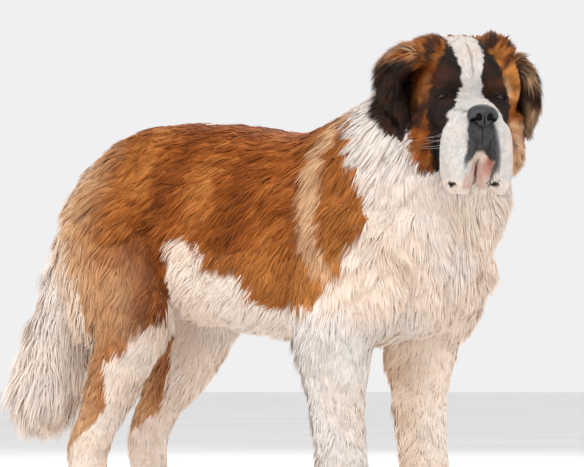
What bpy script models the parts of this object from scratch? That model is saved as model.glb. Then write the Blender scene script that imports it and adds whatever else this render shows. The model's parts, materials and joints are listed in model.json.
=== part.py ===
"""A rough-coated Saint Bernard at life size, standing with its head turned to its right, as a still museum model.

Metres, +Z up. The dog faces -Y, its left side is +X, and its feet stand on the floor at Z = 0.
Each part is built from lofts and ellipsoids that a voxel remesh fuses, and is then cut clear of its neighbours.
Locks of the long coat are laid on it one by one and fused into the node that they grow from.
"""

import math
import random

import bmesh
import bpy
import numpy as np
from mathutils import Matrix, Vector
from mathutils.bvhtree import BVHTree

# Sizes that drive the rest, in metres.
GAP = 0.0003
EYE_RADIUS = 0.0125
EYE_SPREAD = 0.052
EYE_DEPTH = 0.0135
FORE_TRACK = 0.13
HIND_TRACK = 0.105

# The head's own frame stands midway between the eyes.
HEAD_PLACE = (0.513, -0.068, 0.821)
HEAD_YAW = math.radians(-43)
HEAD_PITCH = math.radians(9)

# Fused shapes: the voxel of each, and the triangles that are kept.
HEAD_VOXEL = 0.0036
LEG_VOXEL = 0.005
BODY_VOXEL = 0.009
HEAD_TRIANGLES = 1700
EAR_TRIANGLES = 200
TORSO_TRIANGLES = 380
NECK_TRIANGLES = 210
LEG_TRIANGLES = 350
TAIL_TRIANGLES = 120

# The head is parted from the neck by this plane of its own frame: forward and up parts, and offset in mm.
HEAD_CUT = (0.874, 0.486, -119.5)

SIDES = {"right": -1, "left": 1}
SEED = 7

# Colour and roughness, by the start of a node's name.
COLOURS = {
    "head": ((0.62, 0.55, 0.50), 0.8),
    "ear": ((0.10, 0.05, 0.035), 0.75),
    "eye": ((0.10, 0.05, 0.03), 0.08),
    "neck": ((0.85, 0.80, 0.73), 0.85),
    "torso": ((0.47, 0.20, 0.07), 0.85),
    "leg_front": ((0.88, 0.85, 0.80), 0.85),
    "leg_hind": ((0.62, 0.38, 0.21), 0.85),
    "foot_hind": ((0.88, 0.85, 0.80), 0.85),
    "tail": ((0.84, 0.77, 0.69), 0.85),
}


def spot(forward, left, up):
    """A point given as distances forward, to the dog's left, and up."""
    return Vector((left, -forward, up))


HEAD = (
    Matrix.Translation(spot(*HEAD_PLACE))
    @ Matrix.Rotation(HEAD_YAW, 4, "Z")
    @ Matrix.Rotation(HEAD_PITCH, 4, "X")
)


def head_spot(forward, left, up):
    """A point of the head's own frame, in millimetres, as a point of the dog."""
    return HEAD @ (spot(forward, left, up) * 0.001)


def smooth_rows(rows, steps):
    """Rows of numbers joined by a Catmull-Rom curve, with so many rows to a span."""
    rows = np.array(rows, float)
    ends = np.vstack([2 * rows[0] - rows[1], rows, 2 * rows[-1] - rows[-2]])
    out = []
    for i in range(1, len(rows)):
        a, b, c, d = ends[i - 1 : i + 3]
        for t in np.linspace(0, 1, steps, endpoint=False):
            bend = (2 * a - 5 * b + 4 * c - d) * t**2 + (3 * b - a - 3 * c + d) * t**3
            out.append(0.5 * (2 * b + (c - a) * t + bend))
    out.append(rows[-1])
    return np.array(out)


def mesh_object(name, vertices, faces):
    mesh = bpy.data.meshes.new(name)
    mesh.from_pydata([tuple(v) for v in vertices], [], faces)
    obj = bpy.data.objects.new(name, mesh)
    bpy.context.scene.collection.objects.link(obj)
    bm = bmesh.new()
    bm.from_mesh(mesh)
    bmesh.ops.recalc_face_normals(bm, faces=bm.faces)
    bm.to_mesh(mesh)
    bm.free()
    return obj


def loft(stations, steps=4, sides=20, side_axis=(1, 0, 0), square=2.2, matrix=None):
    """A closed tube through stations of (forward, left, up, side radius, radius ahead, radius behind).

    Ahead is the side that the path's turn to the left shows: the back of a torso drawn forwards, or the
    front of a leg drawn downwards. The outline of each ring is a superellipse.
    """
    rows = smooth_rows(stations, steps)
    points = np.array([spot(*row[:3]) for row in rows])
    tangents = np.gradient(points, axis=0)
    tangents /= np.linalg.norm(tangents, axis=1)[:, None]
    vertices = []
    for point, tangent, row in zip(points, tangents, rows):
        ahead = np.cross(tangent, side_axis)
        ahead /= np.linalg.norm(ahead)
        side = np.cross(ahead, tangent)
        for k in range(sides):
            c, s = math.cos(math.tau * k / sides), math.sin(math.tau * k / sides)
            x = math.copysign(abs(c) ** (2 / square), c) * row[3]
            y = math.copysign(abs(s) ** (2 / square), s) * (row[4] if s > 0 else row[5])
            vertices.append(point + side * x + ahead * y)
    faces = []
    for i in range(len(rows) - 1):
        for k in range(sides):
            n = (k + 1) % sides
            faces.append((i * sides + k, i * sides + n, (i + 1) * sides + n, (i + 1) * sides + k))
    faces.append(tuple(range(sides)))
    faces.append(tuple(range((len(rows) - 1) * sides, len(rows) * sides)))
    obj = mesh_object("loft", vertices, faces)
    if matrix is not None:
        obj.data.transform(matrix)
    return obj


def ellipsoid(centre, radii, turn=(0, 0, 0), matrix=None, detail=4):
    """centre and radii are (forward, left, up); turn holds degrees about the dog's left, forward and up axes."""
    bm = bmesh.new()
    bmesh.ops.create_icosphere(bm, subdivisions=detail, radius=1)
    mesh = bpy.data.meshes.new("ellipsoid")
    bm.to_mesh(mesh)
    bm.free()
    left, forward, up = (math.radians(a) for a in turn)
    spin = Matrix.Rotation(up, 4, "Z") @ Matrix.Rotation(left, 4, "X") @ Matrix.Rotation(forward, 4, "Y")
    size = Matrix.Diagonal((radii[1], radii[0], radii[2], 1))
    mesh.transform(Matrix.Translation(spot(*centre)) @ spin @ size)
    if matrix is not None:
        mesh.transform(matrix)
    obj = bpy.data.objects.new("ellipsoid", mesh)
    bpy.context.scene.collection.objects.link(obj)
    return obj


MILLIMETRES = HEAD @ Matrix.Scale(0.001, 4)


def head_ball(forward, left, up, length, width, height, turn=(0, 0, 0), detail=4):
    """An ellipsoid of the head's own frame, in millimetres."""
    return ellipsoid((forward, left, up), (length, width, height), turn, MILLIMETRES, detail)


def head_balls(forward, left, up, length, width, height, turn=(0, 0, 0), detail=4):
    """The same on both sides of the head."""
    pitch, roll, yaw = turn
    return [
        head_ball(forward, side * left, up, length, width, height, (pitch, side * roll, side * yaw), detail)
        for side in SIDES.values()
    ]


def apply_modifiers(obj):
    graph = bpy.context.evaluated_depsgraph_get()
    mesh = bpy.data.meshes.new_from_object(obj.evaluated_get(graph))
    obj.modifiers.clear()
    obj.data = mesh
    return obj


def join(objects, name):
    """One mesh of all the objects, which are removed."""
    bm = bmesh.new()
    for obj in objects:
        bm.from_mesh(obj.data)
        bpy.data.objects.remove(obj)
    mesh = bpy.data.meshes.new(name)
    bm.to_mesh(mesh)
    bm.free()
    obj = bpy.data.objects.new(name, mesh)
    bpy.context.scene.collection.objects.link(obj)
    return obj


def fuse(objects, name, voxel, smoothing):
    """The overlapping shapes as one smooth skin."""
    obj = join(objects, name)
    remesh = obj.modifiers.new("Fuse", "REMESH")
    remesh.mode = "VOXEL"
    remesh.voxel_size = voxel
    smooth = obj.modifiers.new("Smooth", "SMOOTH")
    smooth.factor = 0.5
    smooth.iterations = smoothing
    return apply_modifiers(obj)


def lighten(obj, triangles):
    """Keeps about so many triangles, closest where the form turns most."""
    count = sum(len(p.vertices) - 2 for p in obj.data.polygons)
    decimate = obj.modifiers.new("Lighten", "DECIMATE")
    decimate.ratio = min(1, triangles / count)
    decimate.use_collapse_triangulate = True
    return apply_modifiers(obj)


def boolean(obj, others, operation, solver="EXACT"):
    """Cuts from obj, or joins to it, a list of closed objects, which are then removed."""
    group = bpy.data.collections.new("Tools")
    bpy.context.scene.collection.children.link(group)
    for other in others:
        bpy.context.scene.collection.objects.unlink(other)
        group.objects.link(other)
    modifier = obj.modifiers.new("Boolean", "BOOLEAN")
    modifier.operation = operation
    modifier.operand_type = "COLLECTION"
    modifier.collection = group
    modifier.solver = solver
    apply_modifiers(obj)
    for other in list(group.objects):
        bpy.data.objects.remove(other)
    bpy.data.collections.remove(group)
    return obj


def box(centre, axes, half):
    """A closed box: axes are three directions at right angles, half its half extents along them."""
    corners = [
        centre + sum((axis * (sign * size) for axis, sign, size in zip(axes, signs, half)), Vector())
        for signs in ((a, b, c) for a in (-1, 1) for b in (-1, 1) for c in (-1, 1))
    ]
    faces = [(0, 1, 3, 2), (4, 6, 7, 5), (0, 4, 5, 1), (2, 3, 7, 6), (0, 2, 6, 4), (1, 5, 7, 3)]
    return mesh_object("box", corners, faces)


def beyond(point, normal, reach=0.6):
    """A box that fills the side of a plane to which its normal points."""
    normal = normal.normalized()
    along = normal.orthogonal().normalized()
    return box(point + normal * reach, (along, normal.cross(along), normal), (reach, reach, reach))


def copied(obj):
    copy = bpy.data.objects.new("copy", obj.data.copy())
    bpy.context.scene.collection.objects.link(copy)
    return copy


def swollen(obj, by=GAP):
    """A copy that stands a little proud of the object, to cut its neighbours clear of it."""
    copy = copied(obj)
    displace = copy.modifiers.new("Swell", "DISPLACE")
    displace.strength = by
    displace.mid_level = 0
    return apply_modifiers(copy)


def keep_largest(obj):
    """Drops every closed surface but the largest, as a cut or a union can leave crumbs."""
    bm = bmesh.new()
    bm.from_mesh(obj.data)
    bm.faces.ensure_lookup_table()
    left = set(bm.faces)
    islands = []
    while left:
        island, stack = [], [left.pop()]
        while stack:
            face = stack.pop()
            island.append(face)
            for edge in face.edges:
                for other in edge.link_faces:
                    if other in left:
                        left.remove(other)
                        stack.append(other)
        islands.append(island)
    islands.sort(key=lambda island: sum(face.calc_area() for face in island))
    bmesh.ops.delete(bm, geom=[face for island in islands[:-1] for face in island], context="FACES")
    bm.to_mesh(obj.data)
    bm.free()
    return obj


def cut_clear(obj, neighbours):
    """Cuts away what the neighbours fill, with the gap between nodes."""
    for neighbour in neighbours:
        boolean(obj, [swollen(neighbour)], "DIFFERENCE")
    return keep_largest(obj)


def torso():
    """From the rump to the breastbone, drawn forwards: the radii are to the side, the back and the belly."""
    stations = [
        (-0.455, 0, 0.645, 0.060, 0.060, 0.070),
        (-0.420, 0, 0.645, 0.105, 0.105, 0.115),
        (-0.340, 0, 0.635, 0.132, 0.155, 0.155),
        (-0.230, 0, 0.625, 0.138, 0.178, 0.175),
        (-0.100, 0, 0.605, 0.150, 0.188, 0.180),
        (0.040, 0, 0.585, 0.160, 0.190, 0.180),
        (0.150, 0, 0.575, 0.165, 0.195, 0.185),
        (0.250, 0, 0.565, 0.160, 0.185, 0.185),
        (0.340, 0, 0.560, 0.140, 0.150, 0.165),
        (0.410, 0, 0.555, 0.105, 0.110, 0.125),
        (0.448, 0, 0.550, 0.055, 0.060, 0.070),
    ]
    shapes = [loft(stations, sides=28, square=2.3), ellipsoid((0.335, 0, 0.46), (0.11, 0.11, 0.09))]
    return lighten(fuse(shapes, "torso", BODY_VOXEL, 20), TORSO_TRIANGLES)


def neck():
    """From between the shoulders to the back of the skull, with the full throat under it."""
    stations = [
        (0.100, 0, 0.590, 0.130, 0.170, 0.150),
        (0.190, 0, 0.630, 0.150, 0.168, 0.180),
        (0.270, 0.010, 0.685, 0.150, 0.150, 0.180),
        (0.340, 0.020, 0.745, 0.138, 0.127, 0.165),
        (0.395, 0.030, 0.800, 0.114, 0.104, 0.132),
        (0.440, 0.025, 0.850, 0.085, 0.078, 0.095),
    ]
    shapes = [loft(stations, sides=24), ellipsoid((0.368, 0.02, 0.645), (0.090, 0.12, 0.095))]
    return lighten(fuse(shapes, "neck", BODY_VOXEL, 20), NECK_TRIANGLES)


def foreleg(side):
    """Drawn downwards from the shoulder: the radii are to the side, the front and the back."""
    track = side * FORE_TRACK
    stations = [
        (0.270, track * 0.70, 0.640, 0.050, 0.070, 0.090),
        (0.280, track * 0.95, 0.550, 0.074, 0.085, 0.105),
        (0.258, track * 1.05, 0.450, 0.067, 0.078, 0.085),
        (0.250, track * 1.04, 0.380, 0.056, 0.060, 0.068),
        (0.258, track * 1.02, 0.280, 0.045, 0.047, 0.050),
        (0.266, track, 0.190, 0.041, 0.044, 0.043),
        (0.270, track, 0.150, 0.042, 0.046, 0.043),
        (0.280, track, 0.090, 0.038, 0.040, 0.038),
        (0.300, track, 0.045, 0.040, 0.040, 0.036),
    ]
    return [loft(stations, sides=18), *paw(0.315, track)], claws(0.315, track)


# The point of each hock: how far forward, and how high.
HOCKS = {-1: (-0.383, 0.180), 1: (-0.408, 0.200)}


def hind_leg(side):
    """Drawn downwards from the haunch. The left foot stands a little further back than the right."""
    track = side * HIND_TRACK
    hock, rise = HOCKS[side]
    stations = [
        (-0.330, track * 0.75, 0.700, 0.050, 0.080, 0.080),
        (-0.315, track * 1.02, 0.610, 0.078, 0.115, 0.120),
        (-0.275, track * 1.10, 0.500, 0.073, 0.095, 0.125),
        (-0.245, track * 1.10, 0.430, 0.060, 0.070, 0.095),
        (-0.285, track * 1.07, 0.345, 0.047, 0.052, 0.068),
        (hock + 0.040, track * 1.02, rise + 0.065, 0.036, 0.040, 0.047),
        (hock, track, rise, 0.034, 0.043, 0.044),
        (hock - 0.002, track, rise - 0.045, 0.034, 0.038, 0.040),
        (hock + 0.010, track, 0.085, 0.035, 0.037, 0.038),
        (hock + 0.030, track, 0.045, 0.037, 0.036, 0.036),
    ]
    return [loft(stations, sides=18), *paw(hock + 0.045, track)], claws(hock + 0.045, track)


# The toes of a foot: how far each stands across and ahead of its middle, and its half width.
TOES = ((-0.036, 0.032, 0.017), (-0.0135, 0.050, 0.0175), (0.0135, 0.050, 0.0175), (0.036, 0.032, 0.017))


def paw(forward, track):
    """A broad foot with four arched toes."""
    shapes = [ellipsoid((forward, track, 0.028), (0.062, 0.048, 0.044))]
    for across, ahead, width in TOES:
        shapes.append(ellipsoid((forward + ahead, track + across, 0.026), (0.036, width, 0.032)))
    return shapes


def claws(forward, track):
    shapes = []
    for across, ahead, _ in TOES:
        toe, place = forward + ahead, track + across * 1.1
        stations = [
            (toe + 0.020, place, 0.026, 0.0050, 0.0055, 0.0055),
            (toe + 0.038, place, 0.021, 0.0042, 0.0045, 0.0045),
            (toe + 0.050, place, 0.008, 0.0014, 0.0016, 0.0016),
        ]
        shapes.append(loft(stations, steps=1, sides=5))
    return shapes


def leg(name, shapes, nails, neighbours):
    """The leg cut clear of the trunk, with its soles flat on the floor."""
    obj = lighten(fuse(shapes, name, LEG_VOXEL, 8), LEG_TRIANGLES)
    boolean(obj, nails, "UNION")
    boolean(obj, [beyond(Vector(), Vector((0, 0, -1)), 1.0)], "DIFFERENCE")
    return cut_clear(obj, neighbours)


def parted_at_hock(shank, word, side):
    """Parts a hind leg above the hock, where it bends, and returns it with the foot below."""
    hock, rise = HOCKS[side]
    foot = copied(shank)
    foot.name = f"foot_hind_{word}"
    place = spot(hock + 0.020, side * HIND_TRACK, rise + 0.035)
    slope = spot(0.5, 0, 0.87).normalized()
    boolean(foot, [beyond(place - slope * GAP / 2, slope)], "DIFFERENCE")
    boolean(shank, [beyond(place + slope * GAP / 2, -slope)], "DIFFERENCE")
    return [keep_largest(shank), keep_largest(foot)]


def tail():
    """Hanging from the rump, drawn backwards and down."""
    stations = [
        (-0.380, 0, 0.725, 0.050, 0.045, 0.045),
        (-0.430, 0, 0.705, 0.046, 0.042, 0.042),
        (-0.482, 0, 0.665, 0.038, 0.036, 0.038),
        (-0.515, 0, 0.590, 0.032, 0.032, 0.034),
        (-0.540, 0, 0.500, 0.031, 0.031, 0.034),
        (-0.568, 0, 0.410, 0.030, 0.031, 0.034),
        (-0.600, 0, 0.330, 0.026, 0.027, 0.030),
        (-0.632, 0, 0.270, 0.018, 0.018, 0.020),
        (-0.650, 0, 0.240, 0.008, 0.008, 0.008),
    ]
    return lighten(fuse([loft(stations, sides=16)], "tail", LEG_VOXEL, 4), TAIL_TRIANGLES)


def skull():
    """The large forms of the head, fused softly: millimetres of the head's own frame."""
    muzzle = [
        (-30, 0, -30, 40, 34, 50),
        (0, 0, -34, 43, 35, 52),
        (35, 0, -40, 45, 38, 46),
        (70, 0, -45, 44, 36, 40),
        (90, 0, -48, 36, 30, 32),
    ]
    jaw = [
        (-80, 0, -96, 54, 40, 30),
        (-20, 0, -106, 44, 32, 26),
        (30, 0, -110, 36, 26, 24),
        (62, 0, -112, 28, 18, 20),
        (76, 0, -110, 18, 10, 14),
    ]
    stub = [
        (-50, 0, -10, 82, 84, 106),
        (-120, 0, -22, 104, 98, 136),
        (-200, 0, -50, 112, 104, 145),
    ]
    return [
        head_ball(-84, 0, 34, 96, 80, 63),
        *head_balls(-30, 31, 32, 36, 34, 36),
        *head_balls(-62, 55, -16, 62, 38, 48),
        *head_balls(-84, 48, -70, 64, 42, 54),
        *head_balls(2, 42, -32, 36, 26, 30),
        loft(muzzle, sides=24, matrix=MILLIMETRES),
        loft(jaw, sides=20, matrix=MILLIMETRES),
        loft(stub, sides=24, matrix=MILLIMETRES),
    ]


def flew(side):
    """The hanging upper lip of one side, drawn forwards: the radii are its half thickness, up and down."""
    stations = [
        (-34, side * 40, -86, 10, 30, 22),
        (0, side * 43, -84, 17, 42, 48),
        (28, side * 43, -84, 21, 45, 72),
        (54, side * 41, -84, 23, 45, 89),
        (74, side * 37, -80, 22, 44, 84),
        (90, side * 29, -70, 17, 36, 58),
        (100, side * 22, -60, 8, 20, 26),
    ]
    return loft(stations, sides=20, square=2.5, matrix=MILLIMETRES)


def lids(side):
    """The socket and the slanted opening between the lids, as two cutters."""
    left, forward = side * EYE_SPREAD * 1000, -EYE_DEPTH * 1000
    ball = EYE_RADIUS * 1000 + 0.4
    return [
        head_ball(forward, left, 0, ball, ball, ball, detail=3),
        head_ball(forward + 12, left + side * 1, -1.5, 10, 9.5, 6.2, (0, side * 12, side * 8), detail=3),
    ]


def head():
    shapes = [
        fuse(skull(), "skull", HEAD_VOXEL, 26),
        *(flew(side) for side in SIDES.values()),
        *head_balls(72, 22, -62, 26, 22, 30),
        *head_balls(-EYE_DEPTH * 1000, EYE_SPREAD * 1000, 0, 18, 19, 18),
        *head_balls(-14, 46, 14, 20, 24, 10, (0, 14, 0)),
        head_ball(93, 0, -28, 19, 28, 18),
        head_ball(88, 0, -58, 14, 20, 30),
    ]
    obj = lighten(fuse(shapes, "head", HEAD_VOXEL, 7), HEAD_TRIANGLES)
    cutters = [
        *head_balls(108, 12, -29, 10, 6, 5, (0, -25, 20), detail=2),
        *head_balls(102, 22, -33, 14, 5, 3, (0, 20, 30), detail=2),
        head_ball(106, 0, -62, 9, 1.2, 30, detail=2),
        head_ball(88, 0, -101, 26, 22, 5, detail=2),
    ]
    for side in SIDES.values():
        cutters += lids(side)
    for cutter in cutters:
        boolean(obj, [cutter], "DIFFERENCE")
    forward, up, offset = HEAD_CUT
    normal = spot(forward, 0, up)
    point = HEAD @ (normal * ((offset + GAP * 500) * 0.001))
    boolean(obj, [beyond(point, HEAD.to_3x3() @ -normal)], "DIFFERENCE")
    return keep_largest(obj)


# The ears, as forward, left and up, half width along the head, and half thickness: the right one stands out.
EARS = {
    1: [(-80, 58, 62, 36, 20), (-80, 90, 62, 46, 17), (-76, 106, 38, 55, 15), (-70, 109, 5, 54, 13),
        (-62, 106, -35, 42, 11), (-56, 103, -62, 22, 8), (-53, 101, -78, 6, 4)],
    -1: [(-80, 58, 60, 36, 22), (-86, 96, 58, 48, 19), (-92, 122, 38, 54, 17), (-92, 137, 12, 48, 15),
         (-86, 137, -16, 38, 12), (-79, 131, -42, 20, 8), (-75, 127, -56, 6, 4)],
}


def ear(name, side, neighbours):
    """A hanging ear, hollow towards the cheek."""
    stations = [(f, side * l, u, w, t, t) for f, l, u, w, t in EARS[side]]
    shape = loft(stations, sides=16, side_axis=(0, -1, 0), matrix=MILLIMETRES)
    obj = lighten(fuse([shape], name, HEAD_VOXEL, 3), EAR_TRIANGLES)
    boolean(obj, [head_ball(-56, side * 90, 34, 30, 12, 24, detail=2)], "DIFFERENCE")
    return cut_clear(obj, neighbours)


def lock(root, normal, lie, coat, chance, ground):
    """A flat tapered lock that bends along its lie, as a list of ring centres, sides and thicknesses, or None.

    It starts sunk in the flesh, rises through it, and then stays above every surface that it passes.
    """
    along = (lie - normal * lie.dot(normal)).normalized()
    if along.length < 0.5:
        return None
    turn = Matrix.Rotation(chance.uniform(-0.22, 0.22), 3, normal)
    heading = (turn @ along * (1 - coat["lean"]) + normal * coat["lean"]).normalized()
    length = coat["length"] * chance.uniform(0.85, 1.15)
    points = [root - normal * coat["sink"], root + normal * 0.2 * coat["thick"] + heading * length * 0.2]
    for share in (0.4, 0.4):
        heading = (heading + Vector((0, 0, -coat["fall"]))).normalized()
        point = points[-1] + heading * length * share
        near, outward, _, _ = ground.find_nearest(point)
        height = (point - near).dot(outward)
        if height < coat["rise"]:
            point = near + outward * coat["rise"]
        point.z = max(point.z, 0.006)
        points.append(point)
    return points


def lock_mesh(points, normal, coat, scale, swell=0.0):
    """The mesh of a lock: ridged rings that taper to a tip."""
    points = [points[0].lerp(point, scale) if i > 1 else point for i, point in enumerate(points)]
    vertices = []
    for i, (wide, deep) in enumerate(((0.70, 1.1), (1.0, 1.0), (0.78, 0.75))):
        tangent = (points[i + 1] - points[max(i - 1, 0)]).normalized()
        side = tangent.cross(normal).normalized()
        up = side.cross(tangent)
        half = side * (coat["width"] * wide * math.sqrt(scale) / 2 + swell)
        rise = up * (coat["thick"] * deep / 2 + swell)
        vertices += [points[i] + half - rise, points[i] + rise, points[i] - half - rise]
    vertices.append(points[3] + (points[3] - points[2]).normalized() * swell)
    faces = [(2, 1, 0)]
    for i in (0, 3):
        faces += [(i + k, i + (k + 1) % 3, i + 3 + (k + 1) % 3, i + 3 + k) for k in range(3)]
    faces += [(6 + k, 6 + (k + 1) % 3, 9) for k in range(3)]
    return vertices, faces


def tree_of(vertices, faces):
    return BVHTree.FromPolygons(vertices, faces)


def coat_roots(skin, coat, chance):
    """Places in loose rings round the coat's path, each with the way out and the way that hair lies there."""
    path = [spot(*row) for row in smooth_rows(coat["path"], 6)]
    if coat.get("frame"):
        path = [coat["frame"] @ point for point in path]
    rows, around = coat["rows"], coat["around"]
    first, last = coat["sweep"]
    full = last - first >= 360
    for row in range(rows):
        for k in range(around):
            share = (row + chance.uniform(-0.35, 0.35)) / max(rows - 1, 1)
            place = min(max(share, 0), 1) * (len(path) - 1.001)
            i = int(place)
            centre = path[i].lerp(path[i + 1], place - i)
            tangent = (path[i + 1] - path[i]).normalized()
            ahead = tangent.cross(coat.get("side", Vector((1, 0, 0)))).normalized()
            side = ahead.cross(tangent)
            step = (k + 0.5 * (row % 2) + chance.uniform(-0.2, 0.2)) / (around if full else around - 0.5)
            angle = math.radians(first + (last - first) * step)
            out = ahead * math.cos(angle) + side * math.sin(angle)
            hit, normal, _, _ = skin.ray_cast(centre + out * 0.5, -out, 0.5)
            if hit is not None:
                yield hit, normal, out, tangent


def dress(obj, coats, ground, trees, chance):
    """Lays the coats on a node and fuses them. A lock that would touch another node is shortened or left out."""
    others = [tree for name, found in trees.items() if name != obj.name for tree in found]
    bm = bmesh.new()
    bm.from_mesh(obj.data)
    skin = BVHTree.FromBMesh(bm)
    bm.free()
    laid = []
    for coat in coats:
        for root, normal, _, tangent in coat_roots(skin, coat, chance):
            backward, down, along = coat["lie"]
            lie = Vector((0, backward, -down)) + tangent * along
            points = lock(root, normal, lie, coat, chance, ground)
            if points is None:
                continue
            for scale in (1.0, 0.75, 0.5):
                tester = tree_of(*lock_mesh(points, normal, coat, scale, 0.0012))
                if not any(tester.overlap(other) for other in others):
                    vertices, faces = lock_mesh(points, normal, coat, scale)
                    laid.append(mesh_object("lock", vertices, faces))
                    trees[obj.name].append(tree_of(vertices, faces))
                    break
    if laid:
        boolean(obj, laid, "UNION", "MANIFOLD")
        keep_largest(obj)


def stand_on_origin():
    """Moves every node so that the middle of the foot of their bounding box is at the origin."""
    corners = np.array([v.co for obj in bpy.data.objects for v in obj.data.vertices])
    low, high = corners.min(axis=0), corners.max(axis=0)
    shift = Matrix.Translation((-(low[0] + high[0]) / 2, -(low[1] + high[1]) / 2, -low[2]))
    for obj in bpy.data.objects:
        obj.data.transform(shift)


def coat(path, rows, around, sweep, lie, length, width, thick, lean=0.2, fall=0.2, rise=0.012, sink=0.016, **more):
    """A coat's numbers by name. sweep is in degrees from the side ahead of the path, and lie is how far the
    hair runs back, down and along the path."""
    named = {"path": path, "rows": rows, "around": around, "sweep": sweep, "lie": lie, "length": length}
    named.update({"width": width, "thick": thick, "lean": lean, "fall": fall, "rise": rise, "sink": sink})
    named.update(more)
    return named


def coats():
    """The long coat of each node, from the cheeks back to the plume of the tail."""
    head_left = HEAD.to_3x3() @ Vector((1, 0, 0))
    found = {
        "head": [
            coat([(-0.075, 0, -0.02), (-0.105, 0, -0.03)], 2, 7, (-125, 125), (0, 0, 1), 0.090, 0.068, 0.018,
                 lean=0.02, fall=0.30, rise=0.005, frame=HEAD, side=head_left),
            coat([(-0.070, 0, -0.04), (-0.105, 0, -0.05)], 1, 4, (130, 230), (0, 0.7, 0.8), 0.100, 0.066, 0.020,
                 frame=HEAD, side=head_left),
        ],
        "neck": [
            coat([(0.375, 0.03, 0.78), (0.33, 0.02, 0.73), (0.27, 0.01, 0.69), (0.20, 0, 0.65), (0.15, 0, 0.63)],
                 5, 9, (-115, 115), (0.7, 0.55, 0), 0.128, 0.092, 0.024, lean=0.10, fall=0.28, rise=0.014),
            coat([(0.385, 0.03, 0.75), (0.35, 0.02, 0.70), (0.31, 0.01, 0.66)],
                 3, 5, (120, 240), (-0.1, 1, 0), 0.142, 0.096, 0.026, lean=0.36, fall=0.35, rise=0.025),
        ],
        "torso": [
            coat([(0.17, 0, 0.62), (-0.10, 0, 0.62), (-0.44, 0, 0.65)],
                 6, 7, (-95, 95), (0.8, 0.45, 0), 0.155, 0.110, 0.028, lean=0.24, rise=0.017),
            coat([(0.20, 0, 0.56), (-0.05, 0, 0.58), (-0.24, 0, 0.60)],
                 3, 4, (118, 242), (0.8, 0.6, 0), 0.120, 0.100, 0.022, lean=0.20, fall=0.3, rise=0.010),
            coat([(0.36, 0, 0.62), (0.345, 0, 0.57), (0.335, 0, 0.51)],
                 3, 5, (-80, 80), (-0.1, 1, 0), 0.118, 0.100, 0.026, lean=0.36, fall=0.3, rise=0.022),
        ],
        "tail": [
            coat([(-0.46, 0, 0.68), (-0.515, 0, 0.59), (-0.54, 0, 0.50), (-0.568, 0, 0.41), (-0.61, 0, 0.31)],
                 5, 4, (0, 360), (0, 0.3, 1), 0.145, 0.070, 0.022, lean=0.24, fall=0.25, rise=0.010, sink=0.014),
            coat([(-0.54, 0, 0.50), (-0.568, 0, 0.41), (-0.61, 0, 0.31), (-0.635, 0, 0.27)],
                 3, 2, (150, 210), (0, 0.5, 1), 0.155, 0.064, 0.022, lean=0.42, fall=0.3, rise=0.010, sink=0.014),
        ],
    }
    for word, side in SIDES.items():
        rings = [(f * 0.001, side * l * 0.001, u * 0.001) for f, l, u, _, _ in EARS[side]]
        found[f"ear_{word}"] = [
            coat(rings[1:6], 3, 3, (0, 360), (0, 0.4, 1), 0.055, 0.040, 0.012, lean=0.12, rise=0.004, sink=0.005,
                 frame=HEAD, side=HEAD.to_3x3() @ Vector((0, -1, 0))),
        ]
        track = side * FORE_TRACK
        outward = (-130, 30) if side < 0 else (-30, 130)
        found[f"leg_front_{word}"] = [
            coat([(0.28, track, 0.60), (0.27, track, 0.54), (0.258, track * 1.04, 0.44)],
                 3, 3, outward, (0.4, 1, 0), 0.120, 0.082, 0.019, lean=0.06, rise=0.007),
            coat([(0.25, track, 0.44), (0.25, track * 1.03, 0.36), (0.262, track, 0.20), (0.275, track, 0.12)],
                 4, 2, (155, 205), (0.7, 1, 0), 0.115, 0.050, 0.022, lean=0.40, sink=0.014),
        ]
        track = side * HIND_TRACK
        outward = (-140, 0) if side < 0 else (0, 140)
        found[f"leg_hind_{word}"] = [
            coat([(-0.31, track, 0.66), (-0.275, track * 1.1, 0.52), (-0.26, track * 1.1, 0.44)],
                 4, 3, outward, (0.5, 1, 0), 0.125, 0.092, 0.024, lean=0.14, rise=0.011),
            coat([(-0.33, track, 0.60), (-0.29, track * 1.1, 0.48), (-0.285, track * 1.05, 0.36),
                  (-0.35, track, 0.27)], 4, 2, (155, 205), (0.8, 1, 0), 0.120, 0.066, 0.024, lean=0.34, fall=0.3),
        ]
    return found


def paint(obj):
    """The node's own material, from the start of its name."""
    colour, roughness = next(value for key, value in COLOURS.items() if obj.name.startswith(key))
    material = bpy.data.materials.new(obj.name)
    material.use_nodes = True
    shader = material.node_tree.nodes["Principled BSDF"]
    shader.inputs["Base Color"].default_value = (*colour, 1)
    shader.inputs["Roughness"].default_value = roughness
    material.diffuse_color = (*colour, 1)
    obj.data.materials.clear()
    obj.data.materials.append(material)


def mesh_tree(obj):
    bm = bmesh.new()
    bm.from_mesh(obj.data)
    tree = BVHTree.FromBMesh(bm)
    bm.free()
    return tree


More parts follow.
